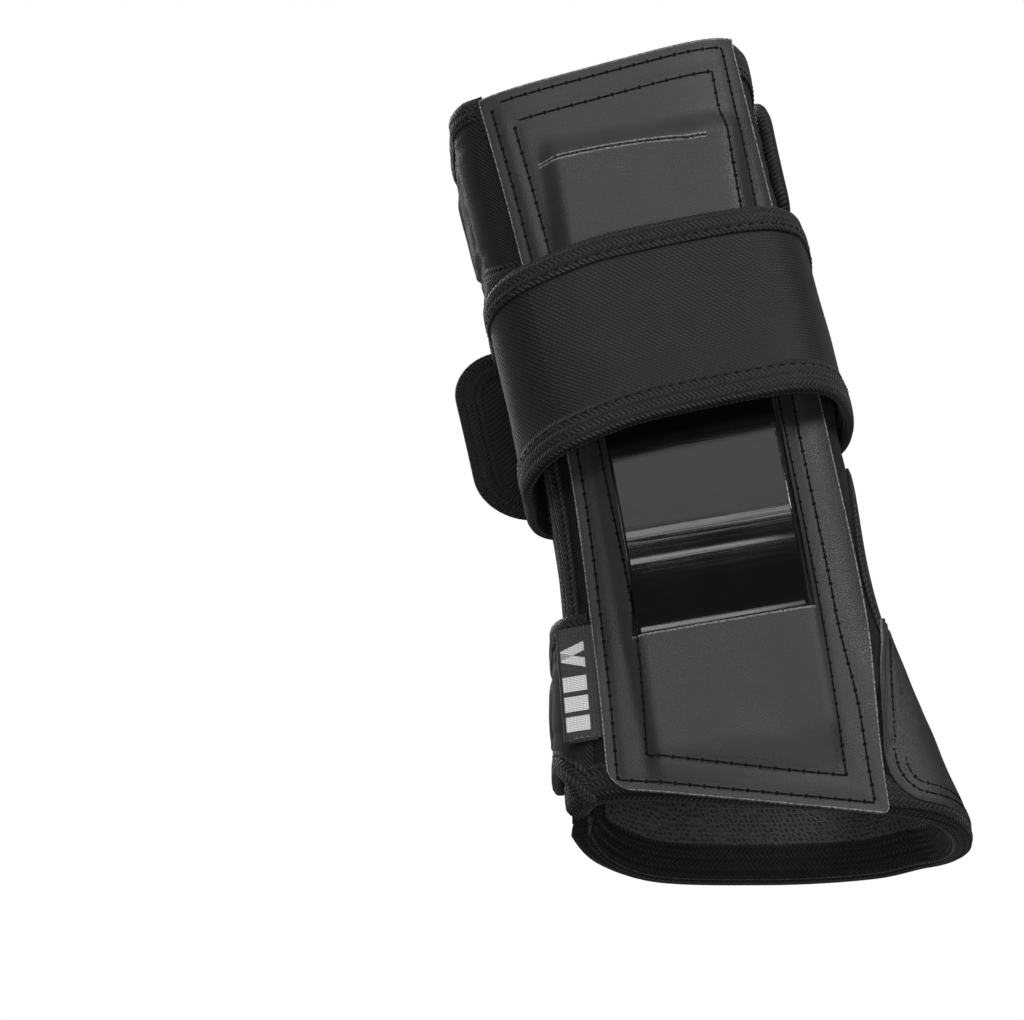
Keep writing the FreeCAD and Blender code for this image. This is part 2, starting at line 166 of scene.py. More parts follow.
def meshPiece(name, points, faces, finishes, uv=None, sharp=40, indices=None):
    mesh = bpy.data.meshes.new(name)
    mesh.from_pydata((np.asarray(points) * mm).tolist(), [], [list(f) for f in faces])
    if indices is not None:
        mesh.polygons.foreach_set("material_index", indices)
    if uv is not None:
        layer = mesh.uv_layers.new(name="grain")
        corners = np.empty(len(mesh.loops), int)
        mesh.loops.foreach_get("vertex_index", corners)
        layer.data.foreach_set("uv", np.asarray(uv)[corners].astype(np.float32).ravel())
    work = bmesh.new()
    work.from_mesh(mesh)
    bmesh.ops.recalc_face_normals(work, faces=work.faces)
    work.to_mesh(mesh)
    work.free()
    mesh.shade_smooth()
    mesh.set_sharp_from_angle(angle=math.radians(sharp))
    for finish in finishes:
        mesh.materials.append(finish)
    piece = bpy.data.objects.new(name, mesh)
    bpy.context.scene.collection.objects.link(piece)
    return piece


def sheetPiece(name, top, bottom, finishes, keep=None, grain=None, sharp=40, pale=None):
    # a closed sheet between two grids of points; its cut edge and pale faces take the last finish
    rows, columns = top.shape[:2]
    number = np.arange(rows * columns).reshape(rows, columns)
    quads = np.stack([number[:-1, :-1], number[1:, :-1], number[1:, 1:], number[:-1, 1:]], -1)
    keep = np.ones((rows - 1, columns - 1), bool) if keep is None else keep
    quads = quads[keep]
    sides = np.concatenate([quads[:, [0, 1]], quads[:, [1, 2]], quads[:, [2, 3]], quads[:, [3, 0]]])
    key = np.sort(sides, 1) @ np.array([rows * columns, 1])
    _, first, times = np.unique(key, return_index=True, return_counts=True)
    rim = sides[first[times == 1]]
    under = rows * columns
    walls = np.stack([rim[:, 1], rim[:, 0], rim[:, 0] + under, rim[:, 1] + under], -1)
    faces = np.concatenate([quads, quads[:, ::-1] + under, walls])
    if grain is None:
        along = np.cumsum(np.linalg.norm(np.diff(top, axis=1), axis=-1), 1)
        down = np.cumsum(np.linalg.norm(np.diff(top, axis=0), axis=-1), 0)
        u = np.concatenate([np.zeros((rows, 1)), along], 1)
        v = np.concatenate([np.zeros((1, columns)), down])
        grain = np.stack([u - u[:, columns // 2: columns // 2 + 1], v], -1)
    points = np.concatenate([top.reshape(-1, 3), bottom.reshape(-1, 3)])
    uv = np.concatenate([grain.reshape(-1, 2)] * 2)
    used, faces = np.unique(faces, return_inverse=True)
    faces = faces.reshape(-1, 4)
    indices = np.zeros(len(faces), int)
    indices[len(quads) * 2:] = len(finishes) - 1
    if pale is not None:
        indices[:len(quads)] = pale[keep] * (len(finishes) - 1)
    return meshPiece(name, points[used], faces, finishes, uv[used], sharp, indices)


def runAlong(surface, path):
    place = surface(path[:, 0], path[:, 1], 0)
    return np.concatenate([[0], np.cumsum(np.linalg.norm(np.diff(place, axis=0), axis=1))])


def evenly(surface, path, pitch):
    # the same edge with its points an even distance apart, and that distance along it
    run = runAlong(surface, path)
    at = np.linspace(0, run[-1], max(int(run[-1] / pitch), 2) + 1)
    return np.stack([np.interp(at, run, path[:, k]) for k in range(2)], -1), at


def inwardOf(surface, path, side):
    # how angle and height change over one mm into the piece, square to its edge
    angle, z = path.T
    perDegree = np.linalg.norm(surface(angle + 0.1, z, 0) - surface(angle - 0.1, z, 0), axis=-1) / 0.2
    run = np.gradient(path, axis=0) * np.stack([perDegree, np.ones_like(z)], -1)
    run /= np.linalg.norm(run, axis=1, keepdims=True)
    return np.stack([-run[:, 1] * side / perDegree, run[:, 0] * side], -1)


def moved(surface, path, side, distance):
    return path + inwardOf(surface, path, side) * distance


def foldedTape(name, surface, path, side, tape, finish):
    # a tape folded round an edge: outer run, round nose, inner run
    path, at = evenly(surface, path, 1.2)
    inward = inwardOf(surface, path, side)
    half = (tape["top"] - tape["bottom"]) / 2
    nose = min(half, 1.5)
    turn = np.radians(np.linspace(75, -75, 7))
    outer = np.linspace(tape["wide"], nose, 10)
    inner = np.linspace(nose, tape["under"], 5)
    skins = []
    for level in (tape["thick"], 0.05):
        distance = np.concatenate([outer, nose - (nose + level) * np.cos(turn), inner])
        puff = tape["puff"] * np.sin(np.pi * np.clip(outer / tape["wide"], 0, 1)) ** 0.8
        height = np.concatenate([
            tape["top"] + level + puff,
            (tape["top"] + tape["bottom"]) / 2 + (half + level) * np.sin(turn),
            np.full(5, tape["bottom"] - level),
        ])
        uneven = 0.25 * ripple(at, at * 0, len(name), 24)[:, None]
        skins.append(surface(path[:, :1] + inward[:, :1] * (distance + uneven * (distance > nose)),
                             path[:, 1:] + inward[:, 1:] * (distance + uneven * (distance > nose)),
                             height))
    across = np.concatenate([[0], np.cumsum(np.linalg.norm(np.diff(skins[0][0], axis=0), axis=1))])
    grain = np.stack(np.broadcast_arrays(at[:, None], across), -1)
    return sheetPiece(name, skins[0], skins[1], [finish], grain=grain)


def stitchRows(name, rows, finish, size=None):
    # thread between needle holes along paths on surfaces; rows hold (surface, path, lift above it)
    look = {"pitch": 3.6, "length": 3.3, "radius": 0.22, "hole": 0.55}
    look.update(size or {})
    points = []
    faces = []
    count = 0
    ringCount = 6
    swell = np.array([0.5, 0.9, 1.0, 0.9, 0.5])
    arch = np.array([-0.7, 0.2, 0.45, 0.2, -0.7])
    turn = np.linspace(0, 2 * math.pi, ringCount, endpoint=False)
    for surface, path, lift in rows:
        run = runAlong(surface, path)
        path, at = evenly(surface, path, 0.5)
        level = np.interp(at, run, lift) if np.ndim(lift) else lift
        line = surface(path[:, 0], path[:, 1], level)
        up = surface(path[:, 0], path[:, 1], np.asarray(level) + 1) - line
        begin = np.arange(look["pitch"] / 2, at[-1] - look["length"], look["pitch"])
        place = begin[:, None] + np.linspace(0, look["length"], 5)
        spot = np.stack([np.interp(place, at, line[:, k]) for k in range(3)], -1)
        normal = np.stack([np.interp(place, at, up[:, k]) for k in range(3)], -1)
        along = spot[:, -1:] - spot[:, :1]
        along /= np.linalg.norm(along, axis=-1, keepdims=True)
        sideways = np.cross(along, normal)
        sideways /= np.linalg.norm(sideways, axis=-1, keepdims=True)
        cosTurn = np.cos(turn)[:, None]
        sinTurn = np.sin(turn)[:, None]
        if look["hole"]:
            # a low dark disc where the needle went in: the thread's own dark colour, spread wider than the
            # thread to paint the needle hole's shade
            around = along * cosTurn + sideways[:, :1] * sinTurn
            rim = spot[:, :1] + look["hole"] * around + normal[:, :1] * 0.08
            middle = spot[:, :1] + normal[:, :1] * 0.3
            paintedHoleShade = np.concatenate([rim, middle], 1)
            number = np.arange(len(begin) * (ringCount + 1)).reshape(len(begin), -1) + count
            ahead = np.roll(number[:, :-1], -1, axis=1)
            tip = np.broadcast_to(number[:, -1:], ahead.shape)
            faces += np.stack([number[:, :-1], ahead, tip], -1).reshape(-1, 3).tolist()
            points.append(paintedHoleShade.reshape(-1, 3))
            count += number.size
        radius = look["radius"] * swell[:, None, None]
        spot = spot + normal * (look["radius"] * arch[:, None])
        ring = (spot[:, :, None] + sideways[:, :, None] * cosTurn * radius
                + normal[:, :, None] * sinTurn * radius)
        number = np.arange(len(begin) * 5 * ringCount).reshape(len(begin), 5, ringCount) + count
        ahead = np.roll(number, -1, axis=2)
        quads = np.stack([number[:, :-1], ahead[:, :-1], ahead[:, 1:], number[:, 1:]], -1)
        faces += quads.reshape(-1, 4).tolist()
        faces += number[:, 0].tolist() + number[:, -1].tolist()
        points.append(ring.reshape(-1, 3))
        count += number.size
    return meshPiece(name, np.concatenate(points), faces, [finish], sharp=70)


def puffOut(piece, loose, puff):
    # Cloth under pressure: the loose points swell and crease, the sewn ones hold still
    before = np.empty(len(piece.data.vertices) * 3)
    piece.data.vertices.foreach_get("co", before)
    before = before.reshape(-1, 3)
    held = piece.vertex_groups.new(name="sewn")
    for weight in np.unique(np.round(loose, 1)):
        chosen = np.nonzero(np.round(loose, 1) == weight)[0].tolist()
        held.add(chosen, float(1 - weight), "REPLACE")
    cloth = piece.modifiers.new("padding", "CLOTH")
    settings = cloth.settings
    settings.vertex_group_mass = held.name
    settings.use_pressure = True
    settings.uniform_pressure_force = puff["pressure"]
    settings.quality = 6
    settings.shrink_min = -puff["slack"]
    settings.effector_weights.gravity = 0
    cloth.collision_settings.use_collision = False
    scene = bpy.context.scene
    for step in range(1, puff["frames"] + 1):
        scene.frame_set(step)
    swollen = piece.evaluated_get(bpy.context.evaluated_depsgraph_get()).data
    after = np.empty(before.size)
    swollen.vertices.foreach_get("co", after)
    move = after.reshape(-1, 3) - before
    size = np.linalg.norm(move, axis=1, keepdims=True)
    cap = puff["cap"] * mm
    move *= np.minimum(1, cap * np.tanh(size / cap) / np.maximum(size, 1e-9)) * loose[:, None] ** 0.5
    piece.modifiers.remove(cloth)
    piece.vertex_groups.remove(held)
    scene.frame_set(1)
    piece.data.vertices.foreach_set("co", (before + move).ravel())
    piece.data.update()
    print("  simulated", piece.name, "furthest point moved", round(float(np.abs(move).max()) / mm, 2), "mm")


# Finishes. Grain coordinates are in mm, so a texture scale of 1 is one cell per mm.
def newFinish(name, sockets):
    finish = bpy.data.materials.new(name)
    finish.use_nodes = True
    tree = finish.node_tree
    shader = tree.nodes["Principled BSDF"]
    for socket, value in sockets.items():
        shader.inputs[socket].default_value = value
    return finish, tree, shader


def put(tree, kind, settings, sockets):
    node = tree.nodes.new("ShaderNode" + kind)
    for key, value in settings.items():
        setattr(node, key, value)
    for key, value in sockets.items():
        if isinstance(value, bpy.types.NodeSocket):
            tree.links.new(value, node.inputs[key])
        else:
            node.inputs[key].default_value = value
    return node


def grainOf(tree):
    return put(tree, "UVMap", {"uv_map": "grain"}, {}).outputs["UV"]


def noiseOf(tree, grain, scale, detail=3.0):
    return put(tree, "TexNoise", {}, {"Vector": grain, "Scale": scale, "Detail": detail}).outputs["Fac"]


def wavesOf(tree, grain, pitch, direction="X", distortion=0.0):
    # bands one pitch apart, in mm
    pitch = pitch / math.sqrt(2) if direction == "DIAGONAL" else pitch
    settings = {"wave_type": "BANDS", "bands_direction": direction, "wave_profile": "SIN"}
    return put(tree, "TexWave", settings, {
        "Vector": grain, "Scale": math.pi / (10 * pitch), "Distortion": distortion, "Detail": 1.0,
        "Detail Scale": 1.0,
    }).outputs["Fac"]


def combine(tree, operation, a, b):
    return put(tree, "Math", {"operation": operation}, {0: a, 1: b}).outputs[0]


def blendOf(tree, amount, first, second):
    return put(tree, "Mix", {"data_type": "RGBA"}, {0: amount, 6: first, 7: second}).outputs[2]


def rangeOf(tree, value, low, high, start=0.0, end=1.0):
    return put(tree, "MapRange", {}, {
        "Value": value, "From Min": start, "From Max": end, "To Min": low, "To Max": high,
    }).outputs["Result"]


def raiseBy(tree, shader, height, depth, strength=1.0):
    bump = put(tree, "Bump", {}, {"Height": height, "Distance": depth * mm, "Strength": strength})
    tree.links.new(bump.outputs["Normal"], shader.inputs["Normal"])


def grey(level, warmth=0.0):
    return (level * (1 + warmth), level, level * (1 - warmth), 1.0)


def nylonFinish():
    look = {"dark": grey(0.002), "light": grey(0.012), "twill": 0.8, "depth": 0.12}
    finish, tree, shader = newFinish("nylonTwill", {
        "Roughness": 0.62, "Sheen Weight": 0.06, "Sheen Roughness": 0.45, "Specular IOR Level": 0.25,
    })
    grain = grainOf(tree)
    twill = wavesOf(tree, grain, look["twill"], "DIAGONAL")
    thread = wavesOf(tree, grain, look["twill"] * 0.55, "X", 0.4)
    weave = combine(tree, "MULTIPLY", twill, rangeOf(tree, thread, 0.6, 1.0))
    cloudy = noiseOf(tree, grain, 0.06, 4.0)
    tone = combine(tree, "MULTIPLY", weave, rangeOf(tree, cloudy, 0.4, 1.0, 0.3, 0.7))
    tree.links.new(blendOf(tree, tone, look["dark"], look["light"]), shader.inputs["Base Color"])
    tree.links.new(rangeOf(tree, cloudy, 0.55, 0.7, 0.3, 0.7), shader.inputs["Roughness"])
    raiseBy(tree, shader, weave, look["depth"])
    return finish


def knitFinish():
    look = {"dark": grey(0.006), "light": grey(0.075), "cell": 1.3, "depth": 0.3}
    finish, tree, shader = newFinish("knitLining", {"Roughness": 0.55, "Sheen Weight": 0.3})
    grain = grainOf(tree)
    cells = put(tree, "TexVoronoi", {"feature": "DISTANCE_TO_EDGE"}, {
        "Vector": grain, "Scale": 1 / look["cell"], "Randomness": 0.45}).outputs["Distance"]
    loops = combine(tree, "MULTIPLY", rangeOf(tree, cells, 1.0, 0.0, 0.05, 0.3),
                    rangeOf(tree, wavesOf(tree, grain, 0.5, "Y"), 0.5, 1.0))
    tree.links.new(blendOf(tree, loops, look["dark"], look["light"]), shader.inputs["Base Color"])
    raiseBy(tree, shader, loops, look["depth"])
    return finish


def tapeFinish():
    # a braided tape: rows along its length, each of slanting ribs that turn at the next row
    look = {"dark": grey(0.0035), "light": grey(0.026), "rib": 1.3, "row": 1.5, "slant": 0.9, "depth": 0.3}
    finish, tree, shader = newFinish("braidedTape", {
        "Roughness": 0.62, "Sheen Weight": 0.12, "Sheen Roughness": 0.4, "Specular IOR Level": 0.3,
    })
    grain = grainOf(tree)
    parts = put(tree, "SeparateXYZ", {}, {0: grain}).outputs
    fold = combine(tree, "PINGPONG", parts[1], look["row"])
    slanted = combine(tree, "MULTIPLY_ADD", fold, look["slant"])
    tree.links.new(parts[0], slanted.node.inputs[2])
    across = put(tree, "CombineXYZ", {}, {0: slanted, 1: parts[1]}).outputs[0]
    ribs = wavesOf(tree, across, look["rib"], "X", 0.25)
    rows = wavesOf(tree, grain, look["row"], "Y", 0.15)
    weave = combine(tree, "MULTIPLY", ribs, rangeOf(tree, rows, 0.35, 1.0))
    fuzz = noiseOf(tree, grain, 0.5, 5.0)
    height = combine(tree, "ADD", weave, rangeOf(tree, fuzz, -0.15, 0.15, 0.3, 0.7))
    tone = combine(tree, "MULTIPLY", weave, rangeOf(tree, fuzz, 0.35, 1.0, 0.3, 0.7))
    tree.links.new(blendOf(tree, tone, look["dark"], look["light"]), shader.inputs["Base Color"])
    raiseBy(tree, shader, height, look["depth"])
    return finish


def leatherFinish():
    look = {
        "dark": (0.018, 0.019, 0.021, 1), "light": (0.031, 0.033, 0.036, 1), "pebble": 0.62, "depth": 0.035,
    }
    finish, tree, shader = newFinish("grainLeather", {"Roughness": 0.5, "Specular IOR Level": 0.4})
    grain = grainOf(tree)
    bent = put(tree, "TexNoise", {}, {"Vector": grain, "Scale": 0.7, "Detail": 2.0}).outputs["Color"]
    wander = put(tree, "VectorMath", {"operation": "MULTIPLY_ADD"}, {0: bent, 1: (0.8, 0.8, 0.8), 2: grain})
    pebbles = put(tree, "TexVoronoi", {"feature": "DISTANCE_TO_EDGE"}, {
        "Vector": wander.outputs[0], "Scale": 1 / look["pebble"]}).outputs["Distance"]
    crease = rangeOf(tree, pebbles, 0.0, 1.0, 0.0, 0.22)
    cloudy = noiseOf(tree, grain, 0.05, 5.0)
    pores = noiseOf(tree, grain, 2.6, 3.0)
    height = combine(tree, "ADD", crease, rangeOf(tree, pores, -0.25, 0.25, 0.3, 0.7))
    lightness = rangeOf(tree, cloudy, 0.35, 1.0, 0.35, 0.65)
    tone = combine(tree, "MULTIPLY", rangeOf(tree, crease, 0.55, 1.0), lightness)
    tree.links.new(blendOf(tree, tone, look["dark"], look["light"]), shader.inputs["Base Color"])
    tree.links.new(rangeOf(tree, cloudy, 0.42, 0.56, 0.35, 0.65), shader.inputs["Roughness"])
    raiseBy(tree, shader, height, look["depth"])
    return finish


def cutLeatherFinish():
    finish, tree, shader = newFinish("cutLeatherEdge", {"Roughness": 0.95, "Specular IOR Level": 0.2})
    grain = grainOf(tree)
    fibre = noiseOf(tree, grain, 1.8, 4.0)
    tone = rangeOf(tree, fibre, 0.0, 1.0, 0.35, 0.65)
    tree.links.new(blendOf(tree, tone, grey(0.05), grey(0.3)), shader.inputs["Base Color"])
    raiseBy(tree, shader, fibre, 0.3)
    return finish


def splintFinish():
    finish, tree, shader = newFinish("glossyPlastic", {
        "Roughness": 0.16, "Specular IOR Level": 0.4, "Coat Weight": 0.15, "Coat Roughness": 0.12,
    })
    grain = grainOf(tree)
    haze = noiseOf(tree, grain, 0.08, 4.0)
    # fine drawn streaks across the plate
    drawn = put(tree, "Mapping", {}, {"Vector": grain, "Scale": (0.02, 1.1, 1.0)}).outputs[0]
    streaks = noiseOf(tree, drawn, 1.0, 4.0)
    tree.links.new(blendOf(tree, haze, grey(0.003), grey(0.008)), shader.inputs["Base Color"])
    hazy = rangeOf(tree, haze, 0.08, 0.14, 0.3, 0.7)
    streaky = rangeOf(tree, streaks, 0.0, 0.14, 0.4, 0.7)
    tree.links.new(combine(tree, "ADD", hazy, streaky), shader.inputs["Roughness"])
    raiseBy(tree, shader, streaks, 0.06)
    return finish


def elasticFinish():
    look = {"dark": grey(0.003), "light": grey(0.024), "twill": 0.95, "depth": 0.15}
    finish, tree, shader = newFinish("wovenElastic", {
        "Roughness": 0.6, "Sheen Weight": 0.1, "Sheen Roughness": 0.4, "Specular IOR Level": 0.3,
    })
    grain = grainOf(tree)
    twill = wavesOf(tree, grain, look["twill"], "DIAGONAL", 0.4)
    rib = wavesOf(tree, grain, 0.85, "Y", 0.3)
    weave = combine(tree, "MULTIPLY", twill, rangeOf(tree, rib, 0.15, 1.0))
    cloudy = noiseOf(tree, grain, 0.09, 4.0)
    tone = combine(tree, "MULTIPLY", weave, rangeOf(tree, cloudy, 0.45, 1.0, 0.3, 0.7))
    tree.links.new(blendOf(tree, tone, look["dark"], look["light"]), shader.inputs["Base Color"])
    raiseBy(tree, shader, weave, look["depth"])
    return finish


def pileFinish(name, level, cell, depth):
    finish, tree, shader = newFinish(name, {
        "Roughness": 0.85, "Sheen Weight": 0.5, "Sheen Roughness": 0.5, "Specular IOR Level": 0.2,
    })
    grain = grainOf(tree)
    tufts = put(tree, "TexVoronoi", {}, {"Vector": grain, "Scale": 1 / cell}).outputs["Distance"]
    fuzz = noiseOf(tree, grain, 1.1, 6.0)
    standing = rangeOf(tree, tufts, 1.0, 0.0, 0.0, 0.9)
    height = combine(tree, "MULTIPLY", standing, rangeOf(tree, fuzz, 0.4, 1.0))
    tone = blendOf(tree, height, grey(level * 0.35), grey(level * 1.7))
    tree.links.new(tone, shader.inputs["Base Color"])
    raiseBy(tree, shader, height, depth)
    return finish


def satinFinish(name, level, depth=0.12):
    finish, tree, shader = newFinish(name, {
        "Roughness": 0.42, "Sheen Weight": 0.2, "Specular IOR Level": 0.5,
    })
    grain = grainOf(tree)
    weft = wavesOf(tree, grain, 0.45, "Y", 0.2)
    warp = wavesOf(tree, grain, 0.9, "X", 0.2)
    weave = combine(tree, "MULTIPLY", weft, rangeOf(tree, warp, 0.6, 1.0))
    tree.links.new(blendOf(tree, weave, grey(level * 0.6), grey(level * 1.3)), shader.inputs["Base Color"])
    raiseBy(tree, shader, weave, depth)
    return finish


def threadFinish(name, level, sheen=0.3):
    finish, tree, shader = newFinish(name, {
        "Roughness": 0.75, "Sheen Weight": sheen, "Specular IOR Level": 0.15,
    })
    twist = put(tree, "TexNoise", {}, {"Scale": 900.0, "Detail": 2.0}).outputs["Fac"]
    tree.links.new(blendOf(tree, twist, grey(level * 0.5), grey(level * 1.5)), shader.inputs["Base Color"])
    raiseBy(tree, shader, twist, 0.08)
    return finish


nylon = nylonFinish()
knit = knitFinish()
ribbed = tapeFinish()
leather = leatherFinish()
cutLeather = cutLeatherFinish()
plastic = splintFinish()
elastic = elasticFinish()
loopPile = pileFinish("loopPile", 0.012, 0.9, 0.5)
hookPile = pileFinish("hookTape", 0.012, 1.3, 0.7)
satin = satinFinish("satinLabel", 0.006)
emblem = satinFinish("palePrint", 0.62, 0.08)
darkThread = threadFinish("darkThread", 0.002, 0.0)
greyThread = threadFinish("greyThread", 0.11)
print("finishes made")


# Sleeve: padded nylon, wrapped round from the palm's free edge to the back's
sleeve = {
    "columns": 172, "rows": 108, "thumbHeight": -75.0, "thumbReach": 31.0, "thumbDepth": 15.0,
    "padBottom": -3.95, "lining": (-4.05, -4.8), "cutAround": 1.06, "leatherAcross": (-34, 38),
    "loopAcross": (-30, 28), "unevenness": 0.35,
    "puff": {"pressure": 3.0, "slack": 0.03, "frames": 14, "cap": 1.3},
}


def sleeveGrid():
    angle = np.linspace(body["palmEdge"], body["backEdge"], sleeve["columns"])
    low = np.full(angle.shape, body["hem"])
    for _ in range(6):
        low = hemHeight(onBody(angle, low, 0)[:, 0], smoothLine(body["hemLift"])(angle))
    high = topHeight(onBody(angle, body["top"], 0)[:, 0])
    t = np.linspace(0, 1, sleeve["rows"])[:, None]
    z = low * (1 - t) + high * t
    return np.broadcast_to(angle, z.shape), z


def thumbRing(place):
    # 1 on the edge of the thumb hole, less inside it
    return np.where(place[..., 0] > 0, np.hypot(place[..., 1] / sleeve["thumbDepth"],
                    (place[..., 2] - sleeve["thumbHeight"]) / sleeve["thumbReach"]), 9.0)


def makeSleeve():
    angle, z = sleeveGrid()
    place = onBody(angle, z, 0)
    middle = (place[1:, 1:] + place[:-1, :-1]) / 2
    keep = thumbRing(middle) > sleeve["cutAround"]
    edge = np.minimum.reduce([angle - body["palmEdge"], body["backEdge"] - angle])
    # nothing swells under the leather, the loop panel or a tape
    free = ease((edge - 12) / 8) * ease((z - hemHeight(place[..., 0]) - 8) / 8) * ease((64 - z) / 8)
    free *= ease((thumbRing(place) - 1.35) / 0.4)
    for onSide, (first, last) in (
        (place[..., 1] < 0, sleeve["leatherAcross"]), (place[..., 1] > 0, sleeve["loopAcross"]),
    ):
        free = np.where(onSide & (place[..., 0] > first) & (place[..., 0] < last), 0, free)
    uneven = sleeve["unevenness"] * ripple(angle * 0.7, z, 3, 26) * free
    top = onBody(angle, z, uneven)
    piece = sheetPiece("sleevePad", top, onBody(angle, z, sleeve["padBottom"]), [nylon], keep)
    # the grid's points that a kept face touches, in the piece's own order: upper ones, then lower ones
    touched = np.zeros(angle.shape, bool)
    for r, c in ((0, 0), (1, 0), (0, 1), (1, 1)):
        touched[r:r + keep.shape[0], c:c + keep.shape[1]] |= keep
    loose = np.concatenate([free[touched], np.zeros(int(touched.sum()))])
    puffOut(piece, loose, sleeve["puff"])
    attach(piece, "sleeve")
    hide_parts("outer_shell", "foam_padding", "back_stay")

    faces = [onBody(angle, z, depth) for depth in sleeve["lining"]]
    inner = sheetPiece("knitLining", *faces, [knit], keep)
    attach(inner, "sleeve")
    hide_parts("lining")
    return piece


makeSleeve()
print("sleeve made")


# Folded tapes round the sleeve's edges
fineStitch = {"pitch": 2.8, "length": 2.0, "radius": 0.24, "hole": 0}
overTape = 0.66        # the seams' height over what the tape is folded round
edgeTape = {"wide": 9.0, "under": 9.0, "top": 0.1, "bottom": -4.9, "thick": 0.6, "puff": 0.35}


def ridden(piece, bodyName, slotName, *nodes):
    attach(piece, bodyName)
    if nodes:
        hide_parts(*nodes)
    return piece


def makeEdgeTapes():
    angle, z = sleeveGrid()
    hem = np.stack([angle[0], z[0]], -1)
    top = np.stack([angle[-1], z[-1]], -1)
    low = hemHeight(onBody(np.array([body["palmEdge"], body["backEdge"]]), body["hem"], 0)[:, 0])
    height = np.linspace(0, 1, 120)
    longEdges = {}
    for name, at, start in (("palm", body["palmEdge"], low[0]), ("back", body["backEdge"], low[1])):
        z = start + 8.5 + height * (body["top"] - 11 - start - 8.5)
        longEdges[name] = np.stack([np.full(z.shape, at), z], -1)
    oval = np.radians(np.linspace(0, 360, 160))
    holeZ = sleeve["thumbHeight"] - sleeve["thumbReach"] * np.cos(oval)
    hole = np.stack([angleAt(sleeve["thumbDepth"] * np.sin(oval), holeZ, 300, 420, axis=1), holeZ], -1)
    rows = []
    # name, node, edge, which side the piece lies on, look
    for name, node, path, side, look in (
        ("hemTape", "finger_edge_tape", hem, 1, edgeTape),
        ("topTape", "forearm_edge_tape", top, -1, edgeTape),
        ("palmEdgeTape", "palm_edge_tape", longEdges["palm"], -1, edgeTape),
        ("backEdgeTape", "back_edge_tape", longEdges["back"], 1, edgeTape),
        ("thumbTape", "thumb_hole_tape", hole, -1, dict(edgeTape, wide=6.0, under=6.0)),
    ):
        ridden(foldedTape(name, onBody, path, side, look, ribbed), "sleeve", "edge_tape", node)
        even, _ = evenly(onBody, path, 1.0)
        rows.append((onBody, moved(onBody, even, side, look["wide"] - 1.6), look["top"] + overTape))
    ridden(stitchRows("edgeTapeStitches", rows, darkThread, fineStitch), "sleeve", "edge_tape")


makeEdgeTapes()
print("edge tapes made")


# Leather panel on the palm: a frame round a window, over the two pockets of the splint
panel = {
    "left": [(-150, -34.0), (-122, -31.4), (-84, -28.6), (-35, -26.8), (33, -30.5), (73, -34.0)],
    "right": [(-150, 35.5), (-128, 36.0), (-84, 38.3), (-35, 37.0), (33, 33.6), (73, 31.4)],
    "windowLeft": [(-84, -19.3), (-66, -17.0), (-28, -15.6), (0, -17.0), (48, -22.0), (75, -20.0)],
    "windowRight": [(-84, 26.6), (-66, 26.5), (0, 26.0), (51, 21.0), (75, 21.0)],
    "aboveHem": 4.6, "mouth": -82.5, "windowTop": -6.0, "slit": (47.6, 48.0), "slitArc": 1.2,
    "thickness": 1.2, "over": 1.95, "pocketFace": -31.5, "pocketLeft": -18.8, "pocketRight": 26.9,
    "shoulder": 5.5, "splintEnds": (-113.0, 42.0), "corner": 6.0,
    "seamOuter": 2.4, "dip": 0.4, "unevenness": 0.35, "dent": 0.45, "backing": (0.7, 0.15),
    "seamFromLeft": [(-127, 9.6), (-84, 10.6), (-40, 8.2), (20, 7.0), (70, 6.5)],
    "seamFromRight": [(-135, 3.2), (-112, 4.0), (-84, 6.8), (-35, 6.4), (0, 4.6), (70, 2.6)],
    "seamRight": [(-127, 26.9), (-80, 27.8), (20, 25.8), (64, 25.6)],
}
panelLeft = smoothLine(panel["left"])
panelRight = smoothLine(panel["right"])
windowLeft = smoothLine(panel["windowLeft"])
windowRight = smoothLine(panel["windowRight"])
seamFromLeft = smoothLine(panel["seamFromLeft"])
seamFromRight = smoothLine(panel["seamFromRight"])


def panelBottom(x):
    return hemHeight(x, panel["aboveHem"]) - 0.04 * x


def seamsOfPanel():
    # the outer and the inner row of stitching, each a closed (x, z) line
    loops = []
    for fromLeft, fromEnds, right in (
        (lambda z: z * 0 + panel["seamOuter"], 2.6, lambda z: panelRight(z) - seamFromRight(z)),
        (seamFromLeft, 9.1, smoothLine(panel["seamRight"])),
    ):
        leftX = panelLeft(70.0) + fromLeft(70.0)
        rightX = right(-135)
        z0 = panelBottom(-30 + fromLeft(-120.0)) + fromEnds + 0.6
        z = np.linspace(topHeight(leftX) - fromEnds, z0, 90)
        left = np.stack([panelLeft(z) + fromLeft(z), z], -1)
        x = np.linspace(left[-1, 0] + 0.7, rightX, 50)
        bottom = np.stack([x, panelBottom(x) + fromEnds], -1)
        z = np.linspace(bottom[-1, 1], topHeight(28) - fromEnds, 100)
        rightSide = np.stack([right(z), z], -1)
        x = np.linspace(rightSide[-1, 0], left[0, 0], 40)
        top = np.stack([x, topHeight(x) - fromEnds], -1)
        loops.append(np.concatenate([left, bottom, rightSide, top, left[:1]]))
    return loops


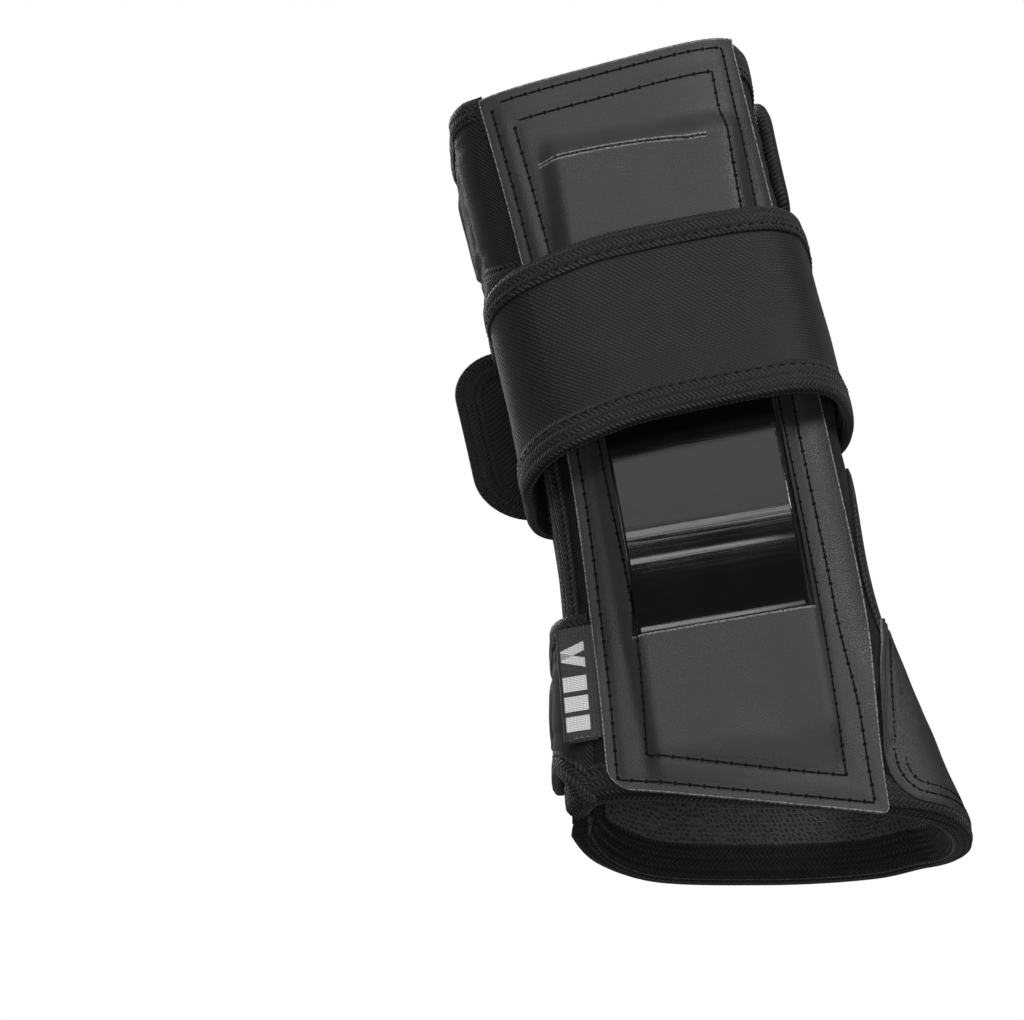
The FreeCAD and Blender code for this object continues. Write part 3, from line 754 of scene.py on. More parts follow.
def leatherHeight(x, z):
    # how far the leather's face stands off the nylon
    surface = onBody(palmAngle(x, z), z, 0)[..., 1]
    flatTop = -(panel["pocketFace"] - surface)
    low, high = panel["splintEnds"]
    raised = ease((x - panel["pocketLeft"] + 3.4) / panel["shoulder"])
    raised = raised * ease((panel["pocketRight"] + 3.4 - x) / panel["shoulder"])
    # past the splint's ends, further at the upper one, where it has room to slide
    raised = raised * ease((z - low + 12) / 13) * ease((high + 15 - z) / 9)
    soft = panel["unevenness"] * ripple(x, z, 11, 34) * raised
    # a soft slanting dent low on the pocket
    dent = panel["dent"] * np.exp(-((x - 14) / 9) ** 2 - ((z + 112 + 0.5 * (x - 14)) / 7) ** 2)
    return panel["over"] + (flatTop - panel["over"]) * raised + soft - dent * raised


def nearSeams(x, z, lines):
    nearest = np.full(x.shape, 99.0)
    for line in lines:
        for a, b in zip(line[:-1:2], np.concatenate([line[2::2], line[-1:]])):
            run = b - a
            t = np.clip(((x - a[0]) * run[0] + (z - a[1]) * run[1]) / max(run @ run, 1e-6), 0, 1)
            nearest = np.minimum(nearest, np.hypot(x - a[0] - t * run[0], z - a[1] - t * run[1]))
    return nearest


def makePanel():
    stops = [None, panel["mouth"], panel["windowTop"], *panel["slit"], body["top"]]
    counts = [44, 34, 44, 1, 18]
    across = [13, 40, 11]       # columns left of the window, over it and right of it
    t = []
    thin = 0.028
    for k, count in enumerate(across):
        t += [(k, i / count) for i in range(count)]
    # narrow strips along the cut edges, which show the pale inside of the leather
    t = t[:1] + [(0, thin)] + t[1:] + [(2, 1 - thin), (2, 1.0)]
    rows = []
    for k, count in enumerate(counts):
        rows += [(k, i / count) for i in range(count)]
    rows = sorted(rows + [(0, 0.007), (0, 0.989), (2, 0.991), (4, 0.018), (4, 0.982), (4, 1.0)])
    x = np.zeros((len(rows), len(t)))
    z = np.zeros_like(x)
    bend = [0, 0, 0, panel["slitArc"], panel["slitArc"]]
    for _ in range(4):
        arc = 1 - ((np.clip(x[0], -20, 22) - 1) / 21) ** 2
        for r, (k, part) in enumerate(rows):
            bottom = panelBottom(x[r]) if k == 0 else stops[k]
            top = topHeight(x[r]) if k == 4 else stops[k + 1] + bend[k + 1] * arc
            z[r] = (bottom + bend[k] * arc) * (1 - part) + top * part
        fromBottom = z - panelBottom(x)
        left = panelLeft(z) + cornerInset(fromBottom + 0.01, panel["corner"])
        right = panelRight(z) - cornerInset(fromBottom + 0.01, 2.0)
        edges = [left, windowLeft(z), windowRight(z), right]
        for c, (k, part) in enumerate(t):
            x[:, c] = edges[k][:, c] * (1 - part) + edges[k + 1][:, c] * part
    band = np.array([k for k, _ in t[:-1]])
    level = np.array([k for k, _ in rows[:-1]])
    opening = (band[None, :] == 1) & ((level[:, None] == 1) | (level[:, None] == 3))
    rawPlaces = ((0, 0.0), (0, 0.989), (2, 0.991), (4, 0.0), (4, 0.982))
    rawRow = np.array([row in rawPlaces for row in rows[:-1]])
    outerRow = np.array([row in ((0, 0.0), (4, 0.982)) for row in rows[:-1]])
    rawColumn = np.array([column in ((0, 0.0), (2, 1 - thin)) for column in t[:-1]])
    pale = rawColumn[None, :] | (rawRow[:, None] & (band[None, :] == 1)) | outerRow[:, None]
    lines = seamsOfPanel()
    height = leatherHeight(x, z)
    height = height - panel["dip"] * np.exp(-(nearSeams(x, z, lines) / 1.1) ** 2)
    # the leather lifts a little above the slit
    fromMiddle = np.abs(x - 1)
    aboveSlit = (np.array([k for k, _ in rows]) == 4)[:, None] & (fromMiddle < 22)
    lifted = np.exp(-((z - panel["slit"][1]) / 3.0) ** 2) * ease((22 - fromMiddle) / 6)
    height = height + aboveSlit * 0.55 * lifted
    angle = palmAngle(x, z)
    top = onBody(angle, z, height)
    bottom = onBody(angle, z, height - panel["thickness"] + 0.05)
    grain = np.stack([x, z], -1)
    piece = sheetPiece("leatherPanel", top, bottom, [leather, cutLeather], ~opening, grain, pale=pale)
    ridden(piece, "sleeve", "leather", "palm_panel", "upper_pocket", "lower_pocket")
    rows = []
    for line in lines:
        path = np.stack([palmAngle(line[:, 0], line[:, 1]), line[:, 1]], -1)
        path, _ = evenly(onBody, path, 0.5)
        x = onBody(*path.T, 0)[:, 0]
        rows.append((onBody, path, leatherHeight(x, path[:, 1]) - panel["dip"] * 0.6))
    ridden(stitchRows("panelStitches", rows, darkThread), "sleeve", "leather")

    zBack = np.linspace(-116, 55, 60)[:, None]
    xBack = np.linspace(-24, 30, 20)[None, :]
    angle = palmAngle(xBack, zBack)
    faces = [onBody(angle, zBack, level) for level in panel["backing"]]
    cloth = sheetPiece("backingCloth", *faces, [satin])
    ridden(cloth, "sleeve", "backing_cloth", "palm_backing")


makePanel()
print("leather panel made")


# Splint: a bowed glossy plate that shows in the panel's window
splint = {
    "middle": 4.0, "width": 43.0, "thick": 2.0, "rest": 0.95, "ends": (-113.0, 42.0), "corner": 9.0,
    "bow": [(-120, 0), (-87, 0), (-83.5, 0.4), (-79, 3.8), (-72.5, 8.8), (-66, 11.5), (-60, 11.9),
            (-53, 10.6), (-42, 7.4), (-24, 2.2), (-10, 0), (60, 0)],
    "rounding": 0.9,
}


def makeSplint():
    bow = smoothLine(splint["bow"])
    low, high = splint["ends"]
    z = np.concatenate([low + np.linspace(0, 3, 8)[:-1] ** 2, np.linspace(low + 9, high - 9, 130),
                        high - np.linspace(3, 0, 8)[1:] ** 2])
    fromEnd = np.minimum(z - low, high - z)
    half = splint["width"] / 2 - cornerInset(fromEnd, splint["corner"])
    face = body["palmDepth"] + splint["rest"] + bow(z)
    slope = np.gradient(face, z)
    length = np.hypot(1, slope)
    outward = np.stack([-1 / length, slope / length], -1)      # y and z of the outer face's normal
    # a section with round corners
    rounding = splint["rounding"]
    thick = splint["thick"]
    turn = np.radians(np.linspace(0, 90, 5))
    cornersX = np.concatenate([np.cos(turn), -np.cos(turn[::-1]), -np.cos(turn), np.cos(turn[::-1])])
    side = np.concatenate([np.ones(5), -np.ones(5), -np.ones(5), np.ones(5)])
    rise = rounding * np.sin(turn)
    depth = np.concatenate([thick - rounding + rise, thick - rounding + rise[::-1],
                            rounding - rise, rounding - rise[::-1]])
    ring = []
    for i in range(len(z)):
        x = splint["middle"] + side * (half[i] - rounding) + cornersX * rounding
        ring.append(np.stack([x, -face[i] + outward[i, 0] * depth, z[i] + outward[i, 1] * depth], -1))
    points = np.array(ring)
    rows, columns = points.shape[:2]
    number = np.arange(rows * columns).reshape(rows, columns)
    ahead = np.roll(number, -1, axis=1)
    faces = np.stack([number[:-1], ahead[:-1], ahead[1:], number[1:]], -1).reshape(-1, 4).tolist()
    faces += [number[0].tolist(), number[-1].tolist()]
    grain = np.stack([points[..., 0], np.broadcast_to(z[:, None], points.shape[:2])], -1)
    piece = meshPiece("palmSplint", points.reshape(-1, 3), faces, [plastic], grain.reshape(-1, 2), 35)
    ridden(piece, "splint", "splint_plastic", "palm_splint")


makeSplint()
print("splint made")


# Wrist strap: sewn start on the back, round the palm and the thumb side, free end over the back
strap = {
    "heights": (-28.5, 23.5), "thick": 1.6, "start": 118.0, "joint": 232.0, "bendEnd": 478.0, "tail": 31.0,
    "rise": [(100, 2.4), (185, 2.4), (233, 8.6), (306, 8.6), (340, 3.2), (380, 3.0), (446, 3.0),
             (475, 5.8), (500, 5.8)],
    "lift": [(-40, 3.4), (-24, 3.0), (-8, 0.6), (6, 0.0), (40, 0.0)],
    "liftAcross": [(100, 0), (215, 0), (240, 1), (300, 1), (325, 0), (500, 0)],
    "slide": [(100, -2), (150, -7), (205, -8.5), (232, -5), (262, -0.8), (285, 0), (330, 1), (358, 2.5),
              (400, 2), (440, 0), (500, 0)],
    "corner": 11.0, "taper": 4.0, "upperTape": 6.3, "lowerTape": 8.4, "unevenness": 0.22,
    "tapeTurn": 352, "endTape": 7.5, "seamIn": 1.5, "hook": (418, 462), "hookMargin": 9.5,
    "bend": {"start": (0.045, -0.016, 0), "end": (0.045, -0.004, 0)},
}
strapRise = smoothLine(strap["rise"])
strapLift = smoothLine(strap["lift"])
strapLiftAcross = smoothLine(strap["liftAcross"])
strapSlide = smoothLine(strap["slide"])


def onStrap(angle, z, out):
    # past the bend's end one step of the angle is one mm straight on
    angle, z, out = np.broadcast_arrays(*(np.asarray(v, float) for v in (angle, z, out)))
    bend = np.minimum(angle, strap["bendEnd"])
    rise = strapRise(bend) + strapLift(z) * strapLiftAcross(bend) + out
    z = z + strapSlide(bend)
    here = onBody(bend, z, rise)
    ahead = onBody(bend + 0.05, z, rise) - onBody(bend - 0.05, z, rise)
    ahead /= np.linalg.norm(ahead, axis=-1, keepdims=True)
    return here + ahead * np.maximum(angle - strap["bendEnd"], 0)[..., None]


def freeEndInset(distance):
    # the free end narrows a little before its round corners
    return cornerInset(distance, strap["corner"]) + strap["taper"] * ease(1 - distance / 28)


def strapColumns(first, last, pitch=1.6):
    path = np.stack([np.linspace(first, last, 400), np.zeros(400)], -1)
    return evenly(onStrap, path, pitch)[0][:, 0]


def strapPath(first, last, z):
    angle = strapColumns(first, last, 1.0)
    return np.stack([angle, np.full(angle.shape, z)], -1)


def blendStrap(piece, slotName, *nodes):
    if nodes:
        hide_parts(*nodes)
    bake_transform(piece)


def makeStrap():
    low, high = strap["heights"]
    end = strap["bendEnd"] + strap["tail"]
    band = {"wide": 0, "under": 6.0, "top": strap["thick"], "bottom": 0.0, "thick": 0.6, "puff": 0.3}
    upper = dict(band, wide=strap["upperTape"])
    lower = dict(band, wide=strap["lowerTape"])
    pieces = {}
    parts = (("strapSewnPart", strap["start"], strap["joint"]), ("strapBand", strap["joint"], end))
    for name, first, last in parts:
        angle = strapColumns(first, last)
        inset = angle * 0
        if last == end:
            extra = last - strap["corner"] * (1 - np.cos(np.radians(np.linspace(0, 90, 9))))
            angle = np.sort(np.concatenate([angle[angle < extra.min()], extra]))
            inset = freeEndInset(last - angle)
        t = np.linspace(0, 1, 41)[:, None]
        z = (low + inset) * (1 - t) + (high - inset) * t
        uneven = strap["unevenness"] * ripple(angle * 0.7, z, 5, 30)
        top = onStrap(angle, z, strap["thick"] + uneven)
        pieces[name] = sheetPiece(name, top, onStrap(angle, z, 0), [elastic])
    joint = strap["joint"]
    sewn = pieces["strapSewnPart"]
    ridden(sewn, "sleeve", "elastic", "strap_band")
    blendStrap(pieces["strapBand"], "elastic", "strap_tongue")

    start = strap["start"]
    turn = strap["tapeTurn"]
    for kind, edge, side, look in (("Lower", low, 1, lower), ("Upper", high, -1, upper)):
        path = strapPath(start, joint, edge)
        sewnTape = foldedTape("strapSewn" + kind + "Tape", onStrap, path, side, look, ribbed)
        ridden(sewnTape, "sleeve", "edge_tape", "strap_" + kind.lower() + "_tape")
        path = strapPath(joint, turn, edge)
        blendStrap(foldedTape("strap" + kind + "Tape", onStrap, path, side, look, ribbed), "edge_tape")
    # the free end's tape runs out along the lower edge, round the end, and back along the upper edge
    shared = dict(lower, wide=strap["endTape"])
    distance = strap["corner"] * (1 - np.cos(np.radians(np.linspace(0, 90, 24))))
    angle = np.concatenate([strapColumns(joint, end - strap["corner"] - 0.5, 1.0), end - distance[::-1]])
    inset = freeEndInset(end - angle)
    lowerEdge = np.stack([angle, low + inset], -1)
    upperEdge = np.stack([angle, high - inset], -1)
    wholeEdge = np.concatenate([lowerEdge, upperEdge[::-1]])
    freeEdge = wholeEdge[wholeEdge[:, 0] > turn - 0.5]
    tape = foldedTape("strapEndTape", onStrap, freeEdge, 1, shared, ribbed)
    blendStrap(tape, "edge_tape", "tongue_tape")
    # the tapes' seams, just above their faces
    above = strap["thick"] + overTape
    lowerSeam = low + lower["wide"] - strap["seamIn"]
    upperSeam = high - upper["wide"] + strap["seamIn"]
    even, _ = evenly(onStrap, freeEdge, 1.0)
    seamRows = [(onStrap, moved(onStrap, even, 1, shared["wide"] - strap["seamIn"]), above)]
    seamRows += [(onStrap, strapPath(joint, turn, z0), above) for z0 in (lowerSeam, upperSeam)]
    blendStrap(stitchRows("strapStitches", seamRows, darkThread, fineStitch), "edge_tape")
    sewnRows = [(onStrap, strapPath(start, joint, z0), above) for z0 in (lowerSeam, upperSeam)]
    z = np.linspace(low + 2, high - 2, 40)
    for angle in (start + 2.5, start + 6.5):
        sewnRows.append((onStrap, np.stack([np.full(40, angle), z], -1), strap["thick"] + 0.2))
    ridden(stitchRows("strapSewnStitches", sewnRows, darkThread, fineStitch), "sleeve", "edge_tape")

    angle = np.linspace(*strap["hook"], 30)
    z = np.linspace(low + strap["hookMargin"], high - strap["hookMargin"], 24)[:, None]
    hook = sheetPiece("strapHook", onStrap(angle, z, -0.05), onStrap(angle, z, -1.05), [hookPile])
    ridden(hook, "strap_end", "hook_tape", "tongue_hook")


makeStrap()
print("wrist strap made")


# Label on the strap's free end, with a plain generic motif
label = {
    "across": (-43.0, 28.0), "heights": (-15.8, 13.6), "lift": 1.75, "thick": 0.8,
    "stitch": {"pitch": 1.7, "length": 1.3, "radius": 0.28, "hole": 0}, "motifFoot": -9.5,
}


def strapAngleAtX(x):
    angle = np.linspace(400, strap["bendEnd"] + strap["tail"], 300)
    place = onStrap(angle, 0.0, 0.0)[:, 0]
    return np.interp(-x, -place, angle)


def motifBars(surface, outlines, lift, finish, name):
    # raised flat shapes on a surface; each outline is four (angle, z) corners
    points = []
    faces = []
    uv = []
    for corners in outlines:
        corners = np.array(corners, float)
        s = np.linspace(0, 1, 9)
        t = np.linspace(0, 1, 5)[:, None, None]
        edgeA = corners[0] * (1 - s[:, None]) + corners[1] * s[:, None]
        edgeB = corners[3] * (1 - s[:, None]) + corners[2] * s[:, None]
        grid = edgeA * (1 - t) + edgeB * t
        for level in (lift, lift - 0.3):
            points.append(surface(grid[..., 0], grid[..., 1], level).reshape(-1, 3))
            uv.append(grid.reshape(-1, 2))
        base = sum(len(p) for p in points[:-2])
        number = np.arange(45).reshape(5, 9) + base
        quads = np.stack([number[:-1, :-1], number[1:, :-1], number[1:, 1:], number[:-1, 1:]], -1)
        quads = quads.reshape(-1, 4)
        rim = np.concatenate([number[0, :], number[1:, -1], number[-1, -2::-1], number[-2:0:-1, 0]])
        walls = np.stack([rim, np.roll(rim, -1), np.roll(rim, -1) + 45, rim + 45], -1)
        faces += quads.tolist() + (quads[:, ::-1] + 45).tolist() + walls.tolist()
    return meshPiece(name, np.concatenate(points), faces, [finish], np.concatenate(uv), 50)


def makeLabel():
    first = strapAngleAtX(label["across"][1])
    last = strapAngleAtX(label["across"][0])
    low, high = label["heights"]
    angle = np.linspace(first, last, 60)
    z = np.linspace(low, high, 28)[:, None]
    edge = np.minimum(np.minimum(angle - first, last - angle) * 0.7, np.minimum(z - low, high - z))
    swell = 0.35 * ease(edge / 3)
    piece = sheetPiece("label", onStrap(angle, z, label["lift"] + label["thick"] - 0.35 + swell),
                       onStrap(angle, z, label["lift"]), [satin])
    ridden(piece, "strap_end", "label_cloth", "label_patch")
    lift = label["lift"] + label["thick"]
    rim = []
    for z0 in (low + 1.6, high - 1.6):
        a = np.linspace(first + 2, last - 2, 80)
        rim.append((onStrap, np.stack([a, np.full(80, z0)], -1), lift - 0.1))
    for a0 in (first + 2.2, last - 2.0):
        zz = np.linspace(low + 1.6, high - 1.6, 30)
        rim.append((onStrap, np.stack([np.full(30, a0), zz], -1), lift - 0.1))
    ridden(stitchRows("labelStitches", rim, greyThread, label["stitch"]), "strap_end", "label_cloth")
    # three rising bars and two chevrons
    width = (last - first) / 12
    foot = label["motifFoot"]
    bars = []
    for k in range(3):
        a = first + width * (1.2 + k * 1.25)
        b = a + width * 0.75
        head = -4 + k * 5.0
        bars.append([(a, foot), (b, foot), (b, head), (a, head)])
    for k in range(2):
        a = first + width * (5.6 + k * 2.4)
        bars.append([(a, foot), (a + width, foot), (a + width * 2.4, -1.0), (a + width * 1.4, -1.0)])
        bars.append([(a + width * 1.4, -1.0), (a + width * 2.4, -1.0), (a + width, 7.5), (a, 7.5)])
    ridden(motifBars(onStrap, bars, lift + 0.12, emblem, "labelMotif"), "strap_end", "label_cloth")


makeLabel()
print("label made")


# Closing flaps: padded, bound all round, from under the leather over the back of the hand
flaps = {
    "upper": {
        "bottomEdge": [(-70, 17.5), (-44, 19.5), (-36, 28.0), (-9, 35.8), (35.5, 36.8)],
        "topEdge": [(-70, 71.0), (-42, 71.2), (35.5, 75.6)], "freeEnd": [(20, 35.5), (80, 35.5)],
    },
    "lower": {
        "bottomEdge": [(-70, -124.0), (-44, -122.0), (-38, -109.0), (-28, -99.5), (-6, -94.0),
                       (33.5, -87.5)],
        "topEdge": [(-70, -73.0), (-48, -73.0), (-20, -64.2), (35, -55.5)],
        "freeEnd": [(-87.5, 33.5), (-55.5, 35.0)],
    },
    "rise": [(0, 3.0), (140, 3.0), (158, 1.6), (172, 0.2), (190, 0.0), (203, 1.1), (216, 1.1),
             (223, 0.25), (235, 0.15)],
    "fullness": [(0, 1.0), (160, 1.0), (200, 0.75), (214, 0.6), (226, 0.15)],
    "root": 226.0, "thick": 2.4, "corner": 10.0, "tape": 5.8, "hook": (66.0, 138.0), "hookMargin": 3.5,
    "seamIn": 4.5, "bend": {"start": (-0.04, -0.022, 0), "end": (-0.04, -0.008, 0)},
    "puff": {"pressure": 2.5, "slack": 0.02, "frames": 12, "cap": 1.1},
}
flapRise = smoothLine(flaps["rise"])
flapFullness = smoothLine(flaps["fullness"])


def onFlap(angle, z, out):
    return onBody(angle, z, flapRise(angle) + out * flapFullness(angle))


def flapOutline(flap):
    # the flap's columns from its free end to its root: angle, lower and upper height of each
    middle = (flap["bottomEdge"][-1][1] + flap["topEdge"][-1][1]) / 2
    freeX = float(smoothLine(flap["freeEnd"])(middle))
    first = float(angleAt(freeX, middle, 1, 179))
    path = np.stack([np.linspace(first, flaps["root"], 400), np.full(400, middle)], -1)
    even, at = evenly(onFlap, path, 1.6)
    radius = flaps["corner"]
    ends = radius * (1 - np.cos(np.radians(np.linspace(0, 90, 9))))
    distance = np.sort(np.concatenate([ends, at[at > radius + 0.5]]))
    angle = np.interp(distance, at, even[:, 0])
    place = onBody(angle, middle, 0)
    # past the side, x goes on falling by as much as it comes back
    sideX = place[:, 0].min()
    past = np.arange(len(angle)) > np.argmin(place[:, 0])
    x = np.where(past, 2 * sideX - place[:, 0], place[:, 0])
    low = smoothLine(flap["bottomEdge"])(x)
    high = smoothLine(flap["topEdge"])(x)
    return angle, low, high, cornerInset(distance, radius), distance


def makeFlap(name, flap, node, bodyName):
    angle, low, high, inset, distance = flapOutline(flap)
    t = np.linspace(0, 1, 31)[:, None]
    z = (low + inset) * (1 - t) + (high - inset) * t
    tape = flaps["tape"]
    inside = np.minimum(np.minimum(z - low, high - z), distance + z * 0)
    cushion = ease((inside - tape + 0.5) / 5)
    groove = np.exp(-((inside - tape - flaps["seamIn"]) / 1.0) ** 2) * 0.7
    pad = 0.7 * cushion - groove + 0.2 * ripple(angle * 0.7, z, 8 + len(name), 26)
    top = onFlap(angle, z, flaps["thick"] + pad)
    bottom = onFlap(angle, z, 0.0)
    piece = sheetPiece(name, top, bottom, [nylon])
    free = ease((inside - tape - 1) / 4) * (1 - np.clip(groove, 0, 0.7) / 0.7) * ease((205 - angle) / 20)
    puffOut(piece, np.concatenate([free.ravel(), np.zeros(free.size)]), flaps["puff"])
    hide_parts(node)
    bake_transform(piece)

    # binding out along the lower edge, round the free end, and back along the upper edge
    lowerEdge = np.stack([angle, low + inset], -1)[::-1]
    upperEdge = np.stack([angle, high - inset], -1)
    edge = np.concatenate([lowerEdge, upperEdge])
    look = {
        "wide": tape, "under": tape, "top": flaps["thick"] + 0.05, "bottom": -0.05,
        "thick": 0.55, "puff": 0.35,
    }
    band = foldedTape(name + "Tape", onFlap, edge, -1, look, ribbed)
    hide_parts(node + "_tape")
    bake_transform(band)
    even, _ = evenly(onFlap, edge, 1.0)
    rows = [(onFlap, moved(onFlap, even, -1, tape - 1.3), flaps["thick"] + overTape)]
    # stitched rectangle that holds the hook patch on the inside
    seamIn = tape + flaps["seamIn"]
    columns = (distance > seamIn) & (angle < 150)
    a = angle[columns]
    lowIn = (low + seamIn)[columns]
    highIn = (high - seamIn)[columns]
    loop = np.concatenate([np.stack([a, lowIn], -1)[::-1], np.stack([a, highIn], -1)])
    loop = np.concatenate([loop, loop[:1]])
    rows.append((onFlap, loop, flaps["thick"] + 0.12))
    seam = stitchRows(name + "Stitches", rows, darkThread)
    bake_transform(seam)

    columns = np.linspace(*flaps["hook"], 40)
    lowHook = np.interp(columns, angle, low) + tape + flaps["hookMargin"]
    highHook = np.interp(columns, angle, high) - tape - flaps["hookMargin"]
    t = np.linspace(0, 1, 20)[:, None]
    z = lowHook * (1 - t) + highHook * t
    hook = sheetPiece(name + "Hook", onFlap(columns, z, -0.05), onFlap(columns, z, -1.05), [hookPile])
    ridden(hook, bodyName, "hook_tape", node + "_hook")


makeFlap("upperFlap", flaps["upper"], "upper_flap", "upper_closure")
makeFlap("lowerFlap", flaps["lower"], "lower_flap", "lower_closure")
print("flaps made")


# Loop panel down the back, which the hooks close on
loopPanel = {"across": (-29.0, 27.0), "offset": (0.1, 1.45), "aboveHem": 9.6, "belowTop": 9.5}


def makeLoopPanel():
    x = np.linspace(*loopPanel["across"], 60)
    low = hemHeight(x, loopPanel["aboveHem"])
    t = np.linspace(0, 1, 190)[:, None]
    z = low * (1 - t) + (topHeight(x) - loopPanel["belowTop"]) * t
    x = np.maximum(x, onBody(502.2, z, 0)[..., 0])
    angle = backAngle(x, z)
    pile = 0.14 * ripple(x, z, 21, 2.6, 9) + 0.16 * ripple(x, z, 22, 30)
    edge = np.minimum(np.minimum(x - loopPanel["across"][0], loopPanel["across"][1] - x), z - low)
    under, over = loopPanel["offset"]
    top = onBody(angle, z, over + pile - 0.5 * (1 - ease(edge / 1.2)))
    grain = np.stack([x, z], -1)
    piece = sheetPiece("loopPanel", top, onBody(angle, z, under), [loopPile], grain=grain)
    ridden(piece, "sleeve", "loop_pile", "loop_panel")
    rows = []
    zz = np.linspace(-118, body["top"] - 11.5, 120)
    for x0 in (loopPanel["across"][0] + 2.6, loopPanel["across"][1] - 2.0):
        rows.append((onBody, np.stack([backAngle(x0, zz), zz], -1), loopPanel["offset"][1] + 0.05))
    ridden(stitchRows("loopStitches", rows, darkThread), "sleeve", "loop_pile")


makeLoopPanel()
print("loop panel made")


# Leather round the web between thumb and first finger, from the palm to the back
thumbPatch = {
    "palm": [(42.0, -84.5), (41.4, -91.0), (39.9, -98.0), (38.6, -109.0), (37.0, -122.0), (37.6, -128.0),
             (40.0, -132.5)],
    "back": [(45.5, -133.0), (41.5, -127.0), (40.0, -119.0), (40.8, -112.0), (42.6, -104.0), (43.6, -97.5)],
    "offset": (0.75, 1.95), "holeGap": 1.5, "aboveHem": 8.0, "seams": (2.4, 5.0),
}


def makeThumbPatch():
    # outer edge: down the palm side, along the hem, up the back side
    palm = np.array(thumbPatch["palm"])
    back = np.array(thumbPatch["back"])
    palmSide = np.stack([palmAngle(palm[:, 0], palm[:, 1]), palm[:, 1]], -1)
    backSide = np.stack([backAngle(back[:, 0], back[:, 1]), back[:, 1]], -1)
    turn = np.linspace(palmSide[-1, 0] + 4, backSide[0, 0] - 4, 40)
    low = np.full(turn.shape, -136.0)
    for _ in range(6):
        low = hemHeight(onBody(turn, low, 0)[:, 0], thumbPatch["aboveHem"])
    outer = np.concatenate([palmSide, np.stack([turn, low], -1), backSide])
    outer, _ = evenly(onBody, outer, 1.2)
    for _ in range(4):      # soften the corners
        outer[1:-1] = (outer[:-2] + 2 * outer[1:-1] + outer[2:]) / 4
    # inner edge: round the lower part of the thumb hole
    reach = sleeve["thumbReach"] + thumbPatch["holeGap"]
    depth = sleeve["thumbDepth"] + thumbPatch["holeGap"]
    startTurn = math.acos(min((sleeve["thumbHeight"] - palm[0, 1]) / reach, 1))
    endTurn = math.acos(min((sleeve["thumbHeight"] - back[-1, 1]) / reach, 1))
    oval = np.linspace(-startTurn, endTurn, len(outer))
    holeZ = sleeve["thumbHeight"] - reach * np.cos(oval)
    inner = np.stack([angleAt(depth * np.sin(oval), holeZ, 300, 420, axis=1), holeZ], -1)
    t = np.linspace(0, 1, 26)[:, None, None]
    grid = outer * (1 - t) + inner * t
    under, over = thumbPatch["offset"]
    place = onBody(grid[..., 0], grid[..., 1], 0)
    fromEdge = np.linalg.norm(place - place[:1], axis=-1)
    height = over + 0.25 * ripple(place[..., 1] * 1.2, place[..., 2], 31, 18) * ease(fromEdge / 6)
    for seam in thumbPatch["seams"]:
        height = height - 0.4 * np.exp(-((fromEdge - seam) / 0.8) ** 2)
    height = height - 0.5 * ease((0.9 - fromEdge) / 0.9)
    top = onBody(grid[..., 0], grid[..., 1], height)
    bottom = onBody(grid[..., 0], grid[..., 1], np.minimum(under, height - 0.3))
    piece = sheetPiece("thumbPatch", top, bottom, [leather, cutLeather])
    ridden(piece, "sleeve", "leather", "thumb_patch")
    rows = []
    for seam in thumbPatch["seams"]:
        rows.append((onBody, moved(onBody, outer, 1, seam)[3:-3], over - 0.25))
    ridden(stitchRows("thumbPatchStitches", rows, darkThread), "sleeve", "leather")


makeThumbPatch()
print("thumb patch made")


# Woven side tab at the panel's edge, folded, with a plain generic motif
sideTab = {
    "heights": (-105.5, -76.0), "reach": 7.4, "foot": 2.6, "thick": 0.45, "gap": 0.4, "tilt": -0.08,
    "stitch": {"pitch": 1.5, "length": 1.2, "radius": 0.25, "hole": 0}, "motif": (3.0, 9.0), "bar": 3.9,
}


